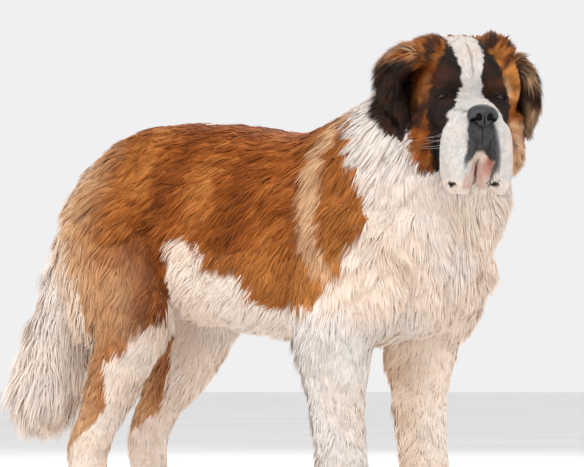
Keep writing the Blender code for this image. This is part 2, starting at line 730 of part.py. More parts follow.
def main():
    for obj in list(bpy.data.objects):
        bpy.data.objects.remove(obj)
    trunk, face = torso(), head()
    forward, up, offset = HEAD_CUT
    normal = spot(forward, 0, up)
    nape = neck()
    whole_nape = copied(nape)
    boolean(nape, [beyond(HEAD @ (normal * ((offset - GAP * 500) * 0.001)), HEAD.to_3x3() @ normal)], "DIFFERENCE")
    cut_clear(nape, [trunk])
    brush = cut_clear(tail(), [trunk])
    nodes = [face, nape, trunk, brush]
    for word, side in SIDES.items():
        nodes.append(leg(f"leg_front_{word}", *foreleg(side), [trunk, whole_nape]))
        nodes += parted_at_hock(leg(f"leg_hind_{word}", *hind_leg(side), [trunk]), word, side)
        nodes.insert(1, ear(f"ear_{word}", side, [face, whole_nape]))
        eye = ellipsoid((-EYE_DEPTH, side * EYE_SPREAD, 0), [EYE_RADIUS] * 3, matrix=HEAD, detail=3)
        eye.name = f"eye_{word}"
        nodes.append(eye)
    bpy.data.objects.remove(whole_nape)

    together = join([copied(obj) for obj in nodes], "together")
    ground = mesh_tree(together)
    bpy.data.objects.remove(together)
    trees = {obj.name: [mesh_tree(obj)] for obj in nodes}
    chance = random.Random(SEED)
    wanted = coats()
    for obj in nodes:
        dress(obj, wanted.get(obj.name, []), ground, trees, chance)
    for obj in nodes:
        paint(obj)
    stand_on_origin()


main()
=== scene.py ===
"""The looks of a rough-coated Saint Bernard, a still model that stands with its head turned to its right.

Laid out as a Blender add-on and run as a script. Lengths are metres, +Z up. The dog faces -Y, and +X is its
left. Places on the body are given as (forward, left, up) in metres, and places on the head as millimetres of
the head's own frame, which stands midway between the eyes. One skin carries every tuft of the coat.
"""

import json
import math

import bmesh
import bpy
import numpy as np
from mathutils import Matrix, Vector
from mathutils.bvhtree import BVHTree
from mathutils.kdtree import KDTree

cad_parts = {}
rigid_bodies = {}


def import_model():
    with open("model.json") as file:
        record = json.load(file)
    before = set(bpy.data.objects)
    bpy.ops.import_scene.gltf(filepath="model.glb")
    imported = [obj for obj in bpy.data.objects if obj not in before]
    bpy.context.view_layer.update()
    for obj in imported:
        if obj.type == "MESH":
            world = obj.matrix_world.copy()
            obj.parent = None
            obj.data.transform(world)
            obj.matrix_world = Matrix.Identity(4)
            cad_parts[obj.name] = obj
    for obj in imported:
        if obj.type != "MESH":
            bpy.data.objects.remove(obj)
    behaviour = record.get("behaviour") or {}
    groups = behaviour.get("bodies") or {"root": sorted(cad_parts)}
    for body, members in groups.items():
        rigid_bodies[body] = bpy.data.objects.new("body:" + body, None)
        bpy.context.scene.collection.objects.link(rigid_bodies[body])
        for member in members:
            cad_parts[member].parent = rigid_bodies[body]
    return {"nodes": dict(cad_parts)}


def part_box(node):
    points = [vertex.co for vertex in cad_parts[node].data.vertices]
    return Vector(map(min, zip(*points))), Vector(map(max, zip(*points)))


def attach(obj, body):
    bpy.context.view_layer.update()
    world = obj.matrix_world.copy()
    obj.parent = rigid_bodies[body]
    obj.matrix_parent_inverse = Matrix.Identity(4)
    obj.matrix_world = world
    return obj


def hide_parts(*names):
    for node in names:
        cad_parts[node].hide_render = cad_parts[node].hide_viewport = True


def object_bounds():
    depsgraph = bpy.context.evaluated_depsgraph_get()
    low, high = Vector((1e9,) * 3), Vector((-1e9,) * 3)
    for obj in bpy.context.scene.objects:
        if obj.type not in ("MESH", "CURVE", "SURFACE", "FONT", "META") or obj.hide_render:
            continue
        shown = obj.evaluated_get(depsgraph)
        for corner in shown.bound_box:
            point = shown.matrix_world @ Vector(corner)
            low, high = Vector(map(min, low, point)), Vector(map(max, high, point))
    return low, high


bl_info = {
    "name": "Rough-coated Saint Bernard",
    "version": (1, 0, 0),
    "blender": (4, 5, 0),
    "location": "3D View > Sidebar > Dog",
    "description": "Builds the skin, coat, eyes, nose and claws of a standing dog around its solids",
    "category": "Add Mesh",
}

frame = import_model()
CAD_BOX = [list(corner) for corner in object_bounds()]

SIDES = {"right": -1, "left": 1}

# The head, in millimetres of its own frame, with the angle that the eye's colours span in radians.
EYE = (-13.5, 52.0, 0.0)
EYE_RADIUS = 12.5
GAZE_SPAN = 1.6
LID_HALF_WIDTH = 11.6
LID_RISE = 5.6
LID_FALL = 7.6
LID_REACH = 14.0
LID_PLACES = 24
MOUTH = -8.0

# The legs, in metres. A hock is given as forward and up, and a toe as across, ahead and half its width.
FORE_TRACK = 0.13
HIND_TRACK = 0.105
HOCKS = {-1: (-0.383, 0.180), 1: (-0.408, 0.200)}
TOES = ((-0.036, 0.032, 0.017), (-0.0135, 0.050, 0.0175), (0.0135, 0.050, 0.0175), (0.036, 0.032, 0.017))
FEET = [(0.315, side * FORE_TRACK) for side in (-1, 1)]
FEET += [(HOCKS[side][0] + 0.045, side * HIND_TRACK) for side in (-1, 1)]

# How low the skin and the tufts' tips reach, and the floor's radius, are metres.
SEED = 11
SKIN_TRIANGLES = 190000
LOWEST_SKIN = 0.0012
LOWEST_TIP = 0.003
FLOOR_RADIUS = 60
FLOOR_SIDES = 96

# The picture, in pixels: its size, the focal length, the horizon's row and the column of the dog's middle.
PICTURE = (584, 467)
FOCAL_LENGTH = 2520
HORIZON = 380
MIDDLE = 272


def spot(forward, left, up):
    return Vector((left, -forward, up))


HEAD = (
    Matrix.Translation(spot(0.513, -0.068, 0.821))
    @ Matrix.Rotation(math.radians(-43), 4, "Z")
    @ Matrix.Rotation(math.radians(9), 4, "X")
)
MILLIMETRES = HEAD @ Matrix.Scale(0.001, 4)

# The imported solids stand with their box's middle at the origin; the left eye gives the way there.
_low, _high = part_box("eye_left")
SHIFT = (_low + _high) / 2 - MILLIMETRES @ spot(*EYE)


# Shapes


def smooth_rows(rows, steps):
    """Rows of numbers joined by a Catmull-Rom curve, with so many rows to a span."""
    rows = np.array(rows, float)
    ends = np.vstack([2 * rows[0] - rows[1], rows, 2 * rows[-1] - rows[-2]])
    out = []
    for i in range(1, len(rows)):
        a, b, c, d = ends[i - 1 : i + 3]
        for t in np.linspace(0, 1, steps, endpoint=False):
            bend = (2 * a - 5 * b + 4 * c - d) * t**2 + (3 * b - a - 3 * c + d) * t**3
            out.append(0.5 * (2 * b + (c - a) * t + bend))
    out.append(rows[-1])
    return np.array(out)


def linked(name, mesh):
    obj = bpy.data.objects.new(name, mesh)
    bpy.context.scene.collection.objects.link(obj)
    return obj


def mesh_object(name, vertices, faces):
    """A mesh with its faces turned outwards."""
    mesh = bpy.data.meshes.new(name)
    mesh.from_pydata([tuple(v) for v in vertices], [], faces)
    bm = bmesh.new()
    bm.from_mesh(mesh)
    bmesh.ops.recalc_face_normals(bm, faces=bm.faces)
    bm.to_mesh(mesh)
    bm.free()
    return linked(name, mesh)


def loft(stations, sides=20, side_axis=(1, 0, 0), square=2.2, matrix=None):
    """A closed tube through stations of (forward, left, up, side radius, radius ahead, radius behind)."""
    rows = smooth_rows(stations, 4)
    points = np.array([spot(*row[:3]) for row in rows])
    tangents = np.gradient(points, axis=0)
    tangents /= np.linalg.norm(tangents, axis=1)[:, None]
    vertices = []
    for point, tangent, row in zip(points, tangents, rows):
        ahead = np.cross(tangent, side_axis)
        ahead /= np.linalg.norm(ahead)
        side = np.cross(ahead, tangent)
        for k in range(sides):
            c, s = math.cos(math.tau * k / sides), math.sin(math.tau * k / sides)
            x = math.copysign(abs(c) ** (2 / square), c) * row[3]
            y = math.copysign(abs(s) ** (2 / square), s) * (row[4] if s > 0 else row[5])
            vertices.append(point + side * x + ahead * y)
    faces = []
    for i in range(len(rows) - 1):
        for k in range(sides):
            n = (k + 1) % sides
            faces.append((i * sides + k, i * sides + n, (i + 1) * sides + n, (i + 1) * sides + k))
    faces.append(tuple(range(sides)))
    faces.append(tuple(range((len(rows) - 1) * sides, len(rows) * sides)))
    obj = mesh_object("loft", vertices, faces)
    if matrix is not None:
        obj.data.transform(matrix)
    return obj


def ellipsoid(centre, radii, turn=(0, 0, 0), matrix=None, detail=4):
    """centre and radii are (forward, left, up); turn holds degrees about the left, forward and up axes."""
    bm = bmesh.new()
    bmesh.ops.create_icosphere(bm, subdivisions=detail, radius=1)
    mesh = bpy.data.meshes.new("ellipsoid")
    bm.to_mesh(mesh)
    bm.free()
    left, forward, up = (math.radians(a) for a in turn)
    spin = Matrix.Rotation(up, 4, "Z") @ Matrix.Rotation(left, 4, "X") @ Matrix.Rotation(forward, 4, "Y")
    size = Matrix.Diagonal((radii[1], radii[0], radii[2], 1))
    mesh.transform(Matrix.Translation(spot(*centre)) @ spin @ size)
    if matrix is not None:
        mesh.transform(matrix)
    return linked("ellipsoid", mesh)


def head_ball(forward, left, up, length, width, height, turn=(0, 0, 0)):
    return ellipsoid((forward, left, up), (length, width, height), turn, MILLIMETRES)


def head_balls(forward, left, up, length, width, height, turn=(0, 0, 0)):
    """The same ball on both sides of the head."""
    pitch, roll, yaw = turn
    return [
        head_ball(forward, side * left, up, length, width, height, (pitch, side * roll, side * yaw))
        for side in SIDES.values()
    ]


def applied(obj):
    """The object with its modifiers made into mesh."""
    graph = bpy.context.evaluated_depsgraph_get()
    mesh = bpy.data.meshes.new_from_object(obj.evaluated_get(graph))
    obj.modifiers.clear()
    obj.data = mesh
    return obj


def join(objects, name):
    bm = bmesh.new()
    for obj in objects:
        bm.from_mesh(obj.data)
        bpy.data.objects.remove(obj)
    mesh = bpy.data.meshes.new(name)
    bm.to_mesh(mesh)
    bm.free()
    return linked(name, mesh)


def fuse(objects, name, voxel, smoothing):
    """The overlapping shapes as one smooth skin."""
    obj = join(objects, name)
    remesh = obj.modifiers.new("Fuse", "REMESH")
    remesh.mode = "VOXEL"
    remesh.voxel_size = voxel
    smooth = obj.modifiers.new("Smooth", "SMOOTH")
    smooth.factor = 0.5
    smooth.iterations = smoothing
    return applied(obj)


def carve(obj, cutters):
    """Cuts a list of closed shapes from the object."""
    group = bpy.data.collections.new("Cutters")
    bpy.context.scene.collection.children.link(group)
    for cutter in cutters:
        bpy.context.scene.collection.objects.unlink(cutter)
        group.objects.link(cutter)
    modifier = obj.modifiers.new("Carve", "BOOLEAN")
    modifier.operation = "DIFFERENCE"
    modifier.operand_type = "COLLECTION"
    modifier.collection = group
    modifier.solver = "MANIFOLD"
    applied(obj)
    for cutter in list(group.objects):
        bpy.data.objects.remove(cutter)
    bpy.data.collections.remove(group)


def vectors_of(mesh, field):
    flat = np.empty(len(mesh.vertices) * 3, np.float32)
    mesh.vertices.foreach_get(field, flat)
    return flat.reshape(-1, 3).astype(float)


def points_of(mesh):
    return vectors_of(mesh, "co")


def normals_of(mesh):
    return vectors_of(mesh, "normal")


def triangles_of(mesh):
    mesh.calc_loop_triangles()
    flat = np.empty(len(mesh.loop_triangles) * 3, np.int32)
    mesh.loop_triangles.foreach_get("vertices", flat)
    return flat.reshape(-1, 3)


def move_points(mesh, points):
    mesh.vertices.foreach_set("co", points.astype(np.float32).ravel())
    mesh.update()


def give(mesh, name, kind, values, field):
    mesh.attributes.new(name, kind, "POINT").data.foreach_set(field, values.astype(np.float32).ravel())


def finished(obj, material, nodes=()):
    obj.data.transform(Matrix.Translation(SHIFT))
    obj.data.materials.clear()
    obj.data.materials.append(material)
    if not obj.data.has_custom_normals:
        obj.data.polygons.foreach_set("use_smooth", [True] * len(obj.data.polygons))
    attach(obj, "root")
    if nodes:
        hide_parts(*nodes)


# Numbers over many points


def unit(vectors):
    return vectors / np.maximum(np.linalg.norm(vectors, axis=-1, keepdims=True), 1e-9)


def dot(a, b):
    return (a * b).sum(-1, keepdims=True)


def ripple(points, waves, seed):
    """Smooth noise of about -1 to 1 with so many waves to the metre."""
    chance = np.random.default_rng(seed)
    total = np.zeros(len(points))
    for _ in range(7):
        way = unit(chance.normal(size=3)) * waves * chance.uniform(0.6, 1.6) * math.tau
        bend = 0.5 * np.sin(points @ (way[[1, 2, 0]] * 0.5) + chance.uniform(0, math.tau))
        total += np.sin(points @ way + bend + chance.uniform(0, math.tau))
    return total / 3.2


def step_between(value, low, high):
    """A smooth step from 0 at low to 1 at high; low may be the larger."""
    t = np.clip((value - low) / (high - low), 0, 1)
    return t * t * (3 - 2 * t)


def inside(points, outline):
    """How far each flat point is inside a closed outline; outside it is negative."""
    corners = np.array(outline, float)
    best = np.full(len(points), 1e9)
    within = np.zeros(len(points), bool)
    for a, b in zip(corners, np.roll(corners, -1, axis=0)):
        along = b - a
        share = np.clip(((points - a) @ along) / (along @ along), 0, 1)
        best = np.minimum(best, np.linalg.norm(points - a - share[:, None] * along, axis=1))
        crosses = (a[1] > points[:, 1]) != (b[1] > points[:, 1])
        height = np.where(along[1] == 0, 1e-9, along[1])
        within ^= crosses & (points[:, 0] < a[0] + (points[:, 1] - a[1]) * along[0] / height)
    return np.where(within, best, -best)


def balls_away(place, centre, radii):
    """How far the head's points are from a centre, in the radii of a ball there."""
    ahead, left, up = ((value - middle) / radius for value, middle, radius in zip(place, centre, radii))
    return np.hypot(np.hypot(ahead, left), up)


def to_head(points):
    """Points of the dog as (forward, left, up) in millimetres of the head's frame."""
    back = np.array(MILLIMETRES.inverted())
    local = points @ back[:3, :3].T + back[:3, 3]
    return np.stack([-local[:, 1], local[:, 0], local[:, 2]], 1)


# Markings

RUST = np.array((0.36, 0.094, 0.014))
DARK_RUST = np.array((0.130, 0.032, 0.008))
GOLD = np.array((0.55, 0.220, 0.056))
TAN = np.array((0.68, 0.430, 0.245))
WHITE = np.array((0.86, 0.800, 0.750))
# Painted shade: a darkened white for the muzzle, the blaze and the whitish part of the inner lips.
SHADED_FACE_WHITE = np.array((0.68, 0.655, 0.630))
CREAM = np.array((0.89, 0.735, 0.610))
BLACK = np.array((0.022, 0.017, 0.015))
BROWN_BLACK = np.array((0.060, 0.028, 0.017))
PINK = np.array((0.70, 0.430, 0.360))
PALE_PINK = np.array((0.76, 0.590, 0.520))
DEEP_PINK = np.array((0.60, 0.230, 0.150))
SLATE = np.array((0.052, 0.052, 0.056))

# Seen from the side, as (forward, up): the saddle with the thigh and the stripe down to the hock.
SADDLE = [
    (0.262, 1.1), (0.276, 0.79), (0.292, 0.727), (0.300, 0.676), (0.345, 0.600), (0.340, 0.554),
    (0.318, 0.525), (0.298, 0.495), (0.272, 0.455), (0.222, 0.430), (0.108, 0.425), (0.075, 0.450),
    (0.060, 0.478), (0.035, 0.500), (-0.028, 0.515), (-0.060, 0.540), (-0.088, 0.568), (-0.125, 0.578),
    (-0.155, 0.565), (-0.150, 0.530), (-0.145, 0.490), (-0.165, 0.462), (-0.172, 0.456), (-0.166, 0.436),
    (-0.185, 0.405), (-0.221, 0.382), (-0.255, 0.355), (-0.293, 0.318), (-0.303, 0.290), (-0.318, 0.265),
    (-0.340, 0.231), (-0.357, 0.211), (-0.386, 0.178), (-0.400, 0.155), (-0.416, 0.165), (-0.410, 0.215),
    (-0.385, 0.275), (-0.350, 0.325), (-0.325, 0.385), (-0.335, 0.460), (-0.378, 0.560), (-0.420, 0.640),
    (-0.460, 0.70), (-0.7, 0.76), (-0.7, 1.1),
]
# The patch on the inner side of each hind leg.
INNER_STRIPE = [
    (-0.302, 0.402), (-0.315, 0.365), (-0.320, 0.325), (-0.330, 0.285), (-0.346, 0.250), (-0.376, 0.226),
    (-0.430, 0.205), (-0.500, 0.240), (-0.450, 0.330), (-0.345, 0.412),
]
CAPE = [
    (0.215, 0.80), (0.205, 0.75), (0.196, 0.712), (0.192, 0.644),
    (0.215, 0.567), (0.262, 0.509), (0.290, 0.472),
]

# Half widths of the face's markings by height in the head's frame, and its middle, in millimetres.
FACE_HEIGHTS = (-160, -120, -85, -55, -31, -11, 4, 20, 38, 57, 84, 130)
BLAZE = (74, 76, 72, 62, 50, 34, 23, 18, 18, 22, 27, 30)
PATCH = (62, 66, 70, 73, 77, 77, 73, 69, 63, 58, 40, 26)
CHEEK_HEIGHTS = (-150, -142, -107, -67, -40, 20)
CHEEK = (80, 87, 104, 104, 112, 125)
FACE_MIDDLE = -2.0
LIP_SPOTS = ((91, -50, -152), (94, 27, -149))


def mixed(base, colour, share):
    """One colour, or one for each point, laid over another by a share of 0 to 1."""
    share = np.atleast_1d(np.clip(share, 0, 1))[:, None]
    return base * (1 - share) + colour * share


def saddle_share(points):
    """1 on the rust of the body, 0 on the white, with a ragged edge."""
    forward, left, up = -points[:, 1], points[:, 0], points[:, 2]
    far = step_between(left, 0.0, 0.05) * step_between(up, 0.46, 0.38)
    within = step_between(abs(left), 0.114, 0.092) * step_between(up, 0.47, 0.43)
    within *= step_between(forward, 0.0, -0.1)
    forward = forward + 0.025 * far + 0.35 * np.maximum(0.16 - abs(left), 0) * step_between(up, 0.68, 0.76)
    flat = np.stack([forward, up - 0.020 * far], 1)
    flat[:, 0] += 0.008 * ripple(points, 9, 3)
    flat[:, 1] += 0.008 * ripple(points, 11, 4)
    legs = np.stack([-points[:, 1] - 0.025 * (left < 0), up], 1)
    depth = inside(flat, SADDLE) * (1 - within) + inside(legs, INNER_STRIPE) * within
    depth = depth + 0.006 * ripple(points, 45, 5)
    spot_away = np.hypot((-points[:, 1] + 0.125) / 0.030, (left + 0.02) / 0.014)
    return step_between(depth, -0.005, 0.005) * (1 - step_between(spot_away, 1.15, 0.85))


def body_colour(points):
    forward, left, up = -points[:, 1], points[:, 0], points[:, 2]
    tone = ripple(points, 5, 21)
    fine = ripple(points * (1, 0.4, 1), 46, 22)
    rust = mixed(RUST, DARK_RUST, 0.22 - 0.32 * tone - 0.25 * fine)
    side_share = step_between(forward, -0.22, -0.12) * step_between(forward, 0.19, 0.12)
    rust = mixed(rust, GOLD, 0.12 - 0.16 * side_share + 0.30 * tone + 0.38 * fine)
    rust = mixed(rust, GOLD, 0.55 * step_between(forward, -0.20, -0.42))
    rear = forward - 0.35 * (abs(left) - 0.10)
    rust = mixed(rust, TAN, 0.80 * step_between(rear, -0.28, -0.42))
    thigh = step_between(up, 0.60, 0.48) * step_between(forward, -0.16, -0.24) * step_between(up, 0.34, 0.42)
    rust = mixed(rust, TAN, 0.50 * thigh)
    ridge = np.interp(up, [u for _, u in CAPE[::-1]], [f for f, _ in CAPE[::-1]])
    away = abs(forward - ridge - 0.014 - 0.006 * ripple(points, 14, 23))
    low = step_between(up, 0.58, 0.50) * step_between(forward, -0.16, -0.06)
    rust = mixed(rust, GOLD, 0.45 * low + 0.30 * step_between(forward, 0.17, 0.23))
    cape = step_between(away, 0.034, 0.012) * step_between(up, 0.46, 0.50)
    rust = mixed(rust, TAN, 0.85 * cape)
    ruff = step_between(up, 0.60, 0.72) * step_between(forward, 0.10, 0.20)
    sleeve = step_between(left, -0.02, -0.09) * step_between(up, 0.46, 0.38) * step_between(forward, 0.1, 0.2)
    # Painted shade: the inner side of the far foreleg gets cream and tan, for the tinted shade there.
    far_leg_inner_shade = step_between(abs(left), 0.155, 0.115) * step_between(left, 0.02, 0.06)
    far_leg_inner_shade *= step_between(forward, 0.1, 0.2) * step_between(up, 0.44, 0.36)
    cream = 0.85 - 0.62 * np.maximum(ruff, sleeve) - 0.35 * step_between(forward, -0.46, -0.50)
    cream += 0.9 * far_leg_inner_shade * step_between(forward, 0.32, 0.22)
    white = mixed(WHITE, CREAM, cream + 0.30 * ripple(points, 6, 24) + 0.15 * fine)
    inner_shade_tan = 0.36 * far_leg_inner_shade * step_between(forward, 0.30, 0.22) * (1 + ripple(points, 14, 25))
    # Painted shade: the white of the ruff and of the near foreleg's sleeve is darkened by up to 0.13.
    white = mixed(white, TAN, inner_shade_tan) * (1 - 0.13 * sleeve - 0.13 * ruff)[:, None]
    colour = mixed(white, rust, saddle_share(points))
    root = step_between(forward, -0.37, -0.43) * step_between(up + 0.03 * tone, 0.50, 0.68)
    breech = step_between(forward, -0.33, -0.38) * step_between(forward, -0.480, -0.455)
    breech *= step_between(up, 0.34, 0.44)
    share = np.maximum(root, 0.9 * breech * (1 - saddle_share(points)))
    return mixed(colour, mixed(TAN, CREAM, 0.40), 0.8 * share)


def head_colour(points):
    """The face, from the white muzzle and blaze over the black patches to the rust of the cheeks."""
    place = to_head(points).T
    jitter = 2.2 * ripple(points, 60, 31) + 1.4 * ripple(points, 140, 32)
    colour = patched_face(points, place, jitter)
    colour = white_muzzle(colour, points, place, jitter)
    colour = slate_lip(colour, points, place, jitter)
    return inner_lips(colour, points, place, jitter)


def face_rust(points, place):
    """The rust of the cheeks, the temples and the crown, deeper beside the near eye with painted shade."""
    _, left, up = place
    rust = mixed(RUST, DARK_RUST, 0.45 + 0.5 * ripple(points, 25, 34))
    high = step_between(up, 44, 66)
    rust = mixed(rust, GOLD, 0.12 + 0.25 * high + 0.5 * ripple(points, 32, 35))
    rust = mixed(rust, BROWN_BLACK, high * (0.30 + 0.9 * ripple(points, 27, 37)))
    # Painted shade beside the near eye: darker rust at the eye's height and above it, and brown-black below
    # it.
    hollow_shade = 0.45 * step_between(left, -50, -62) * step_between(up, 70, 50)
    rust = mixed(rust, DARK_RUST, hollow_shade * step_between(up, -12, 2))
    temple = step_between(left, 46, 62) * step_between(up, 76, 56) * step_between(up, -14, 4)
    rust = mixed(rust, GOLD * 1.1, 0.75 * temple * (1 + ripple(points, 30, 47)))
    shadow = step_between(left, -50, -60) * step_between(up, 6, -16) * step_between(up, -66, -50)
    rust = mixed(rust, BROWN_BLACK, shadow * (0.60 + 0.8 * ripple(points, 30, 38)))
    far_cheek = step_between(left, 40, 60) * step_between(up, -36, -56)
    return mixed(rust, TAN, far_cheek * (0.65 + 0.35 * ripple(points, 50, 48)))


def patched_face(points, place, jitter):
    """The black patches round the eyes on the rust, their tan rims, and the white behind the cheeks, darkened
    as painted shade.
    """
    ahead, left, up = place
    side = abs(left - FACE_MIDDLE)
    black = mixed(BLACK, BROWN_BLACK, 0.20 + 0.6 * ripple(points, 22, 36))
    border = np.interp(up, FACE_HEIGHTS, PATCH)
    patch = step_between(side + jitter, border + 3, border - 3)
    behind = 0.85 * step_between(ahead, -60, -84) * step_between(up, 48, 64)
    patch *= step_between(ahead + jitter, -118, -104) * (1 - behind)
    colour = mixed(face_rust(points, place), black, patch)
    edge = np.interp(up, CHEEK_HEIGHTS, CHEEK) + 24 * (left > 0)
    beyond = step_between(side + 1.6 * jitter, edge - 3, edge + 4) * step_between(up, 24, 4)
    # Painted shade: the white behind the cheeks is darkened to 0.87 of plain white.
    colour = mixed(colour, mixed(WHITE * 0.87, CREAM, 0.25), beyond)
    border = border + 5
    streak = step_between(abs(side + 0.6 * jitter - border), 7, 2) * step_between(up, -6, 4)
    streak *= step_between(up, 44, 30)
    colour = mixed(colour, TAN, streak * np.where(left > 0, 0.80, 0.10))
    brow = balls_away((ahead, abs(left), up), (-30, 60, 30), (40, 20, 17))
    colour = mixed(colour, DARK_RUST * 0.9, 0.38 * step_between(brow + 0.15 * jitter, 1.6, 0.4))
    tip = balls_away(place, (-45, 80, 14), (30, 12, 16))
    return mixed(colour, TAN, step_between(tip, 1.2, 0.7))


def white_muzzle(colour, points, place, jitter):
    """The white of the muzzle and the blaze, darkened as painted shade, the lighter white of the throat, and
    painted shade down the furrow between the brows.
    """
    ahead, left, up = place
    side = abs(left - FACE_MIDDLE)
    white = mixed(SHADED_FACE_WHITE, CREAM, 0.08 + 0.2 * ripple(points, 20, 33))
    white = mixed(white, mixed(WHITE, CREAM, 0.5), step_between(up, -140, -152))
    grain = ripple(points * (1, 1, 0.3), 90, 49)
    white = mixed(white, TAN, 0.16 * step_between(up, 44, 90) * (1 + grain))
    edge = np.interp(up, FACE_HEIGHTS, BLAZE)
    blaze = step_between(side + jitter, edge + 2, edge - 2) * step_between(ahead + 0.35 * up, -130, -110)
    start = np.interp(up, (-110, -50, -20), (34, 44, 20))
    front = step_between(ahead + jitter, start, start + 8)
    muzzle = step_between(up + jitter, -18, -26) * front * step_between(side, edge + 3, edge - 1)
    muzzle = np.maximum(muzzle, blaze * step_between(up, -30, -16) * (ahead > -140))
    muzzle = np.maximum(muzzle, step_between(up + 2 * jitter, -136, -146))
    colour = mixed(colour, white, muzzle)
    # Painted shade: a dark rust line down the furrow between the brows.
    furrow = step_between(abs(left + 1), 4, 1) * step_between(up, 24, 50) * step_between(ahead, -70, -40)
    return mixed(colour, DARK_RUST, 0.4 * furrow)


def slate_lip(colour, points, place, jitter):
    """The slate of the lip under the nose and down the lips' edges, and the black round the nostrils."""
    ahead, left, up = place
    reach = np.interp(up, (-110, -44), (38, 25))
    lip = step_between(-left + 0.4 * jitter, reach + 3, reach - 3) * step_between(left + 0.4 * jitter, 27, 21)
    lip = lip * step_between(up, -30, -38) * step_between(ahead, 64, 76)
    slate = SLATE * (0.7 + 0.5 * ripple(points, 90, 39))[:, None]
    colour = mixed(colour, slate, 0.94 * lip * step_between(up, -128, -104))
    nostril = balls_away(place, (98, 0, -30), (24, 25, 17))
    colour = mixed(colour, BLACK * 0.5, step_between(nostril, 1.1, 0.95))
    edges = step_between(abs(abs(left) - 24), 6, 2) * step_between(ahead, 84, 94)
    edges = edges * step_between(up, -44, -60) * step_between(up, -138, -120)
    return mixed(colour, SLATE * 1.6, 0.75 * edges)


def inner_lips(colour, points, place, jitter):
    """The pink inner lips round the mouth's cleft, with their dark seam, the painted shadow down the cleft
    and the black spots below them.
    """
    ahead, left, up = place
    middle = left - np.interp(up, (-150, -105), (MOUTH - 4, MOUTH + 3))
    reach = np.where(middle < 0, 25, 27)
    inner = step_between(abs(middle) + 0.4 * jitter, reach + 2, reach - 2) * step_between(ahead, 30, 50)
    arch = -92 - 1.0 * np.maximum(abs(middle) - 5, 0)
    inner *= step_between(up + 0.6 * jitter, arch + 3, arch - 3) * step_between(up, -164, -156)
    chin = step_between(abs(middle) + jitter, 17, 9) * step_between(up, -116, -106)
    flesh = mixed(PINK, PALE_PINK, 0.65 + 0.5 * ripple(points, 40, 46))
    deep = step_between(abs(middle - 17), 12, 4) * step_between(up, -150, -118)
    flesh = mixed(flesh, DEEP_PINK, 0.75 * deep + 0.3 * step_between(abs(middle), 9, 2))
    # The whitish part takes the darkened face white, as painted shade.
    flesh = mixed(flesh, SHADED_FACE_WHITE, 0.7 * step_between(middle, -12, -20) * step_between(up, -140, -122))
    colour = mixed(colour, mixed(flesh, CREAM, chin), inner)
    seam = step_between(abs(middle - 27.5 - 0.5 * jitter), 3.0, 1.2) * step_between(up, -106, -114)
    seam *= ahead > 40
    colour = mixed(colour, SLATE, 0.8 * seam * step_between(up, -160, -152))
    # Painted shadow: a black line down the cleft, for the shade in the gap between the flews.
    cleft = step_between(abs(middle - 1.5 * np.sin(up / 9)), 2.6, 1.0) * step_between(up, -104, -110)
    colour = mixed(colour, BLACK, 0.9 * cleft * step_between(ahead, 50, 60))
    for centre in LIP_SPOTS:
        away = balls_away(place, centre, (14, 14, 6))
        colour = mixed(colour, BLACK * 1.4, step_between(away + 0.22 * jitter, 1.1, 0.7))
    return colour


def ear_colour(points):
    """Black ears that turn rust at the root, and tan away from the head on the left ear, partly its own
    streaks and partly a painted rim highlight.
    """
    ahead, left, up = to_head(points).T
    black = mixed(BLACK, BROWN_BLACK, 0.55 + 0.7 * ripple(points, 20, 41))
    rust = mixed(RUST, BROWN_BLACK, 0.35 + 0.9 * ripple(points, 28, 42))
    rust = mixed(rust, TAN, 0.30 + 0.5 * ripple(points, 34, 44))
    # Partly painted light: the tan on the left ear away from the head is partly its own tan streaks and
    # partly a painted highlight of the rim light on its edge.
    streaks_and_rim_light = step_between(left, 100, 118) * step_between(up, 60, 40) * (0.50 + 0.55 * ripple(points, 16, 45))
    black = mixed(black, TAN * 0.65, streaks_and_rim_light)
    share = step_between(up + 9 * ripple(points, 22, 43), 46, 66)
    inner = step_between(abs(left), 98, 90) * step_between(ahead, -62, -46) * step_between(up, -40, -10)
    return mixed(black, rust, np.maximum(share, 0.8 * inner))


def markings(points, part):
    """Linear colour of the coat at each point. part is 0 on the body, 1 on the head and 2 on the ears."""
    head = step_between(part, 0.35, 0.65)
    colour = mixed(body_colour(points), head_colour(points), head)
    return np.where((part > 1.5)[:, None], ear_colour(points), colour)


# How the coat lies

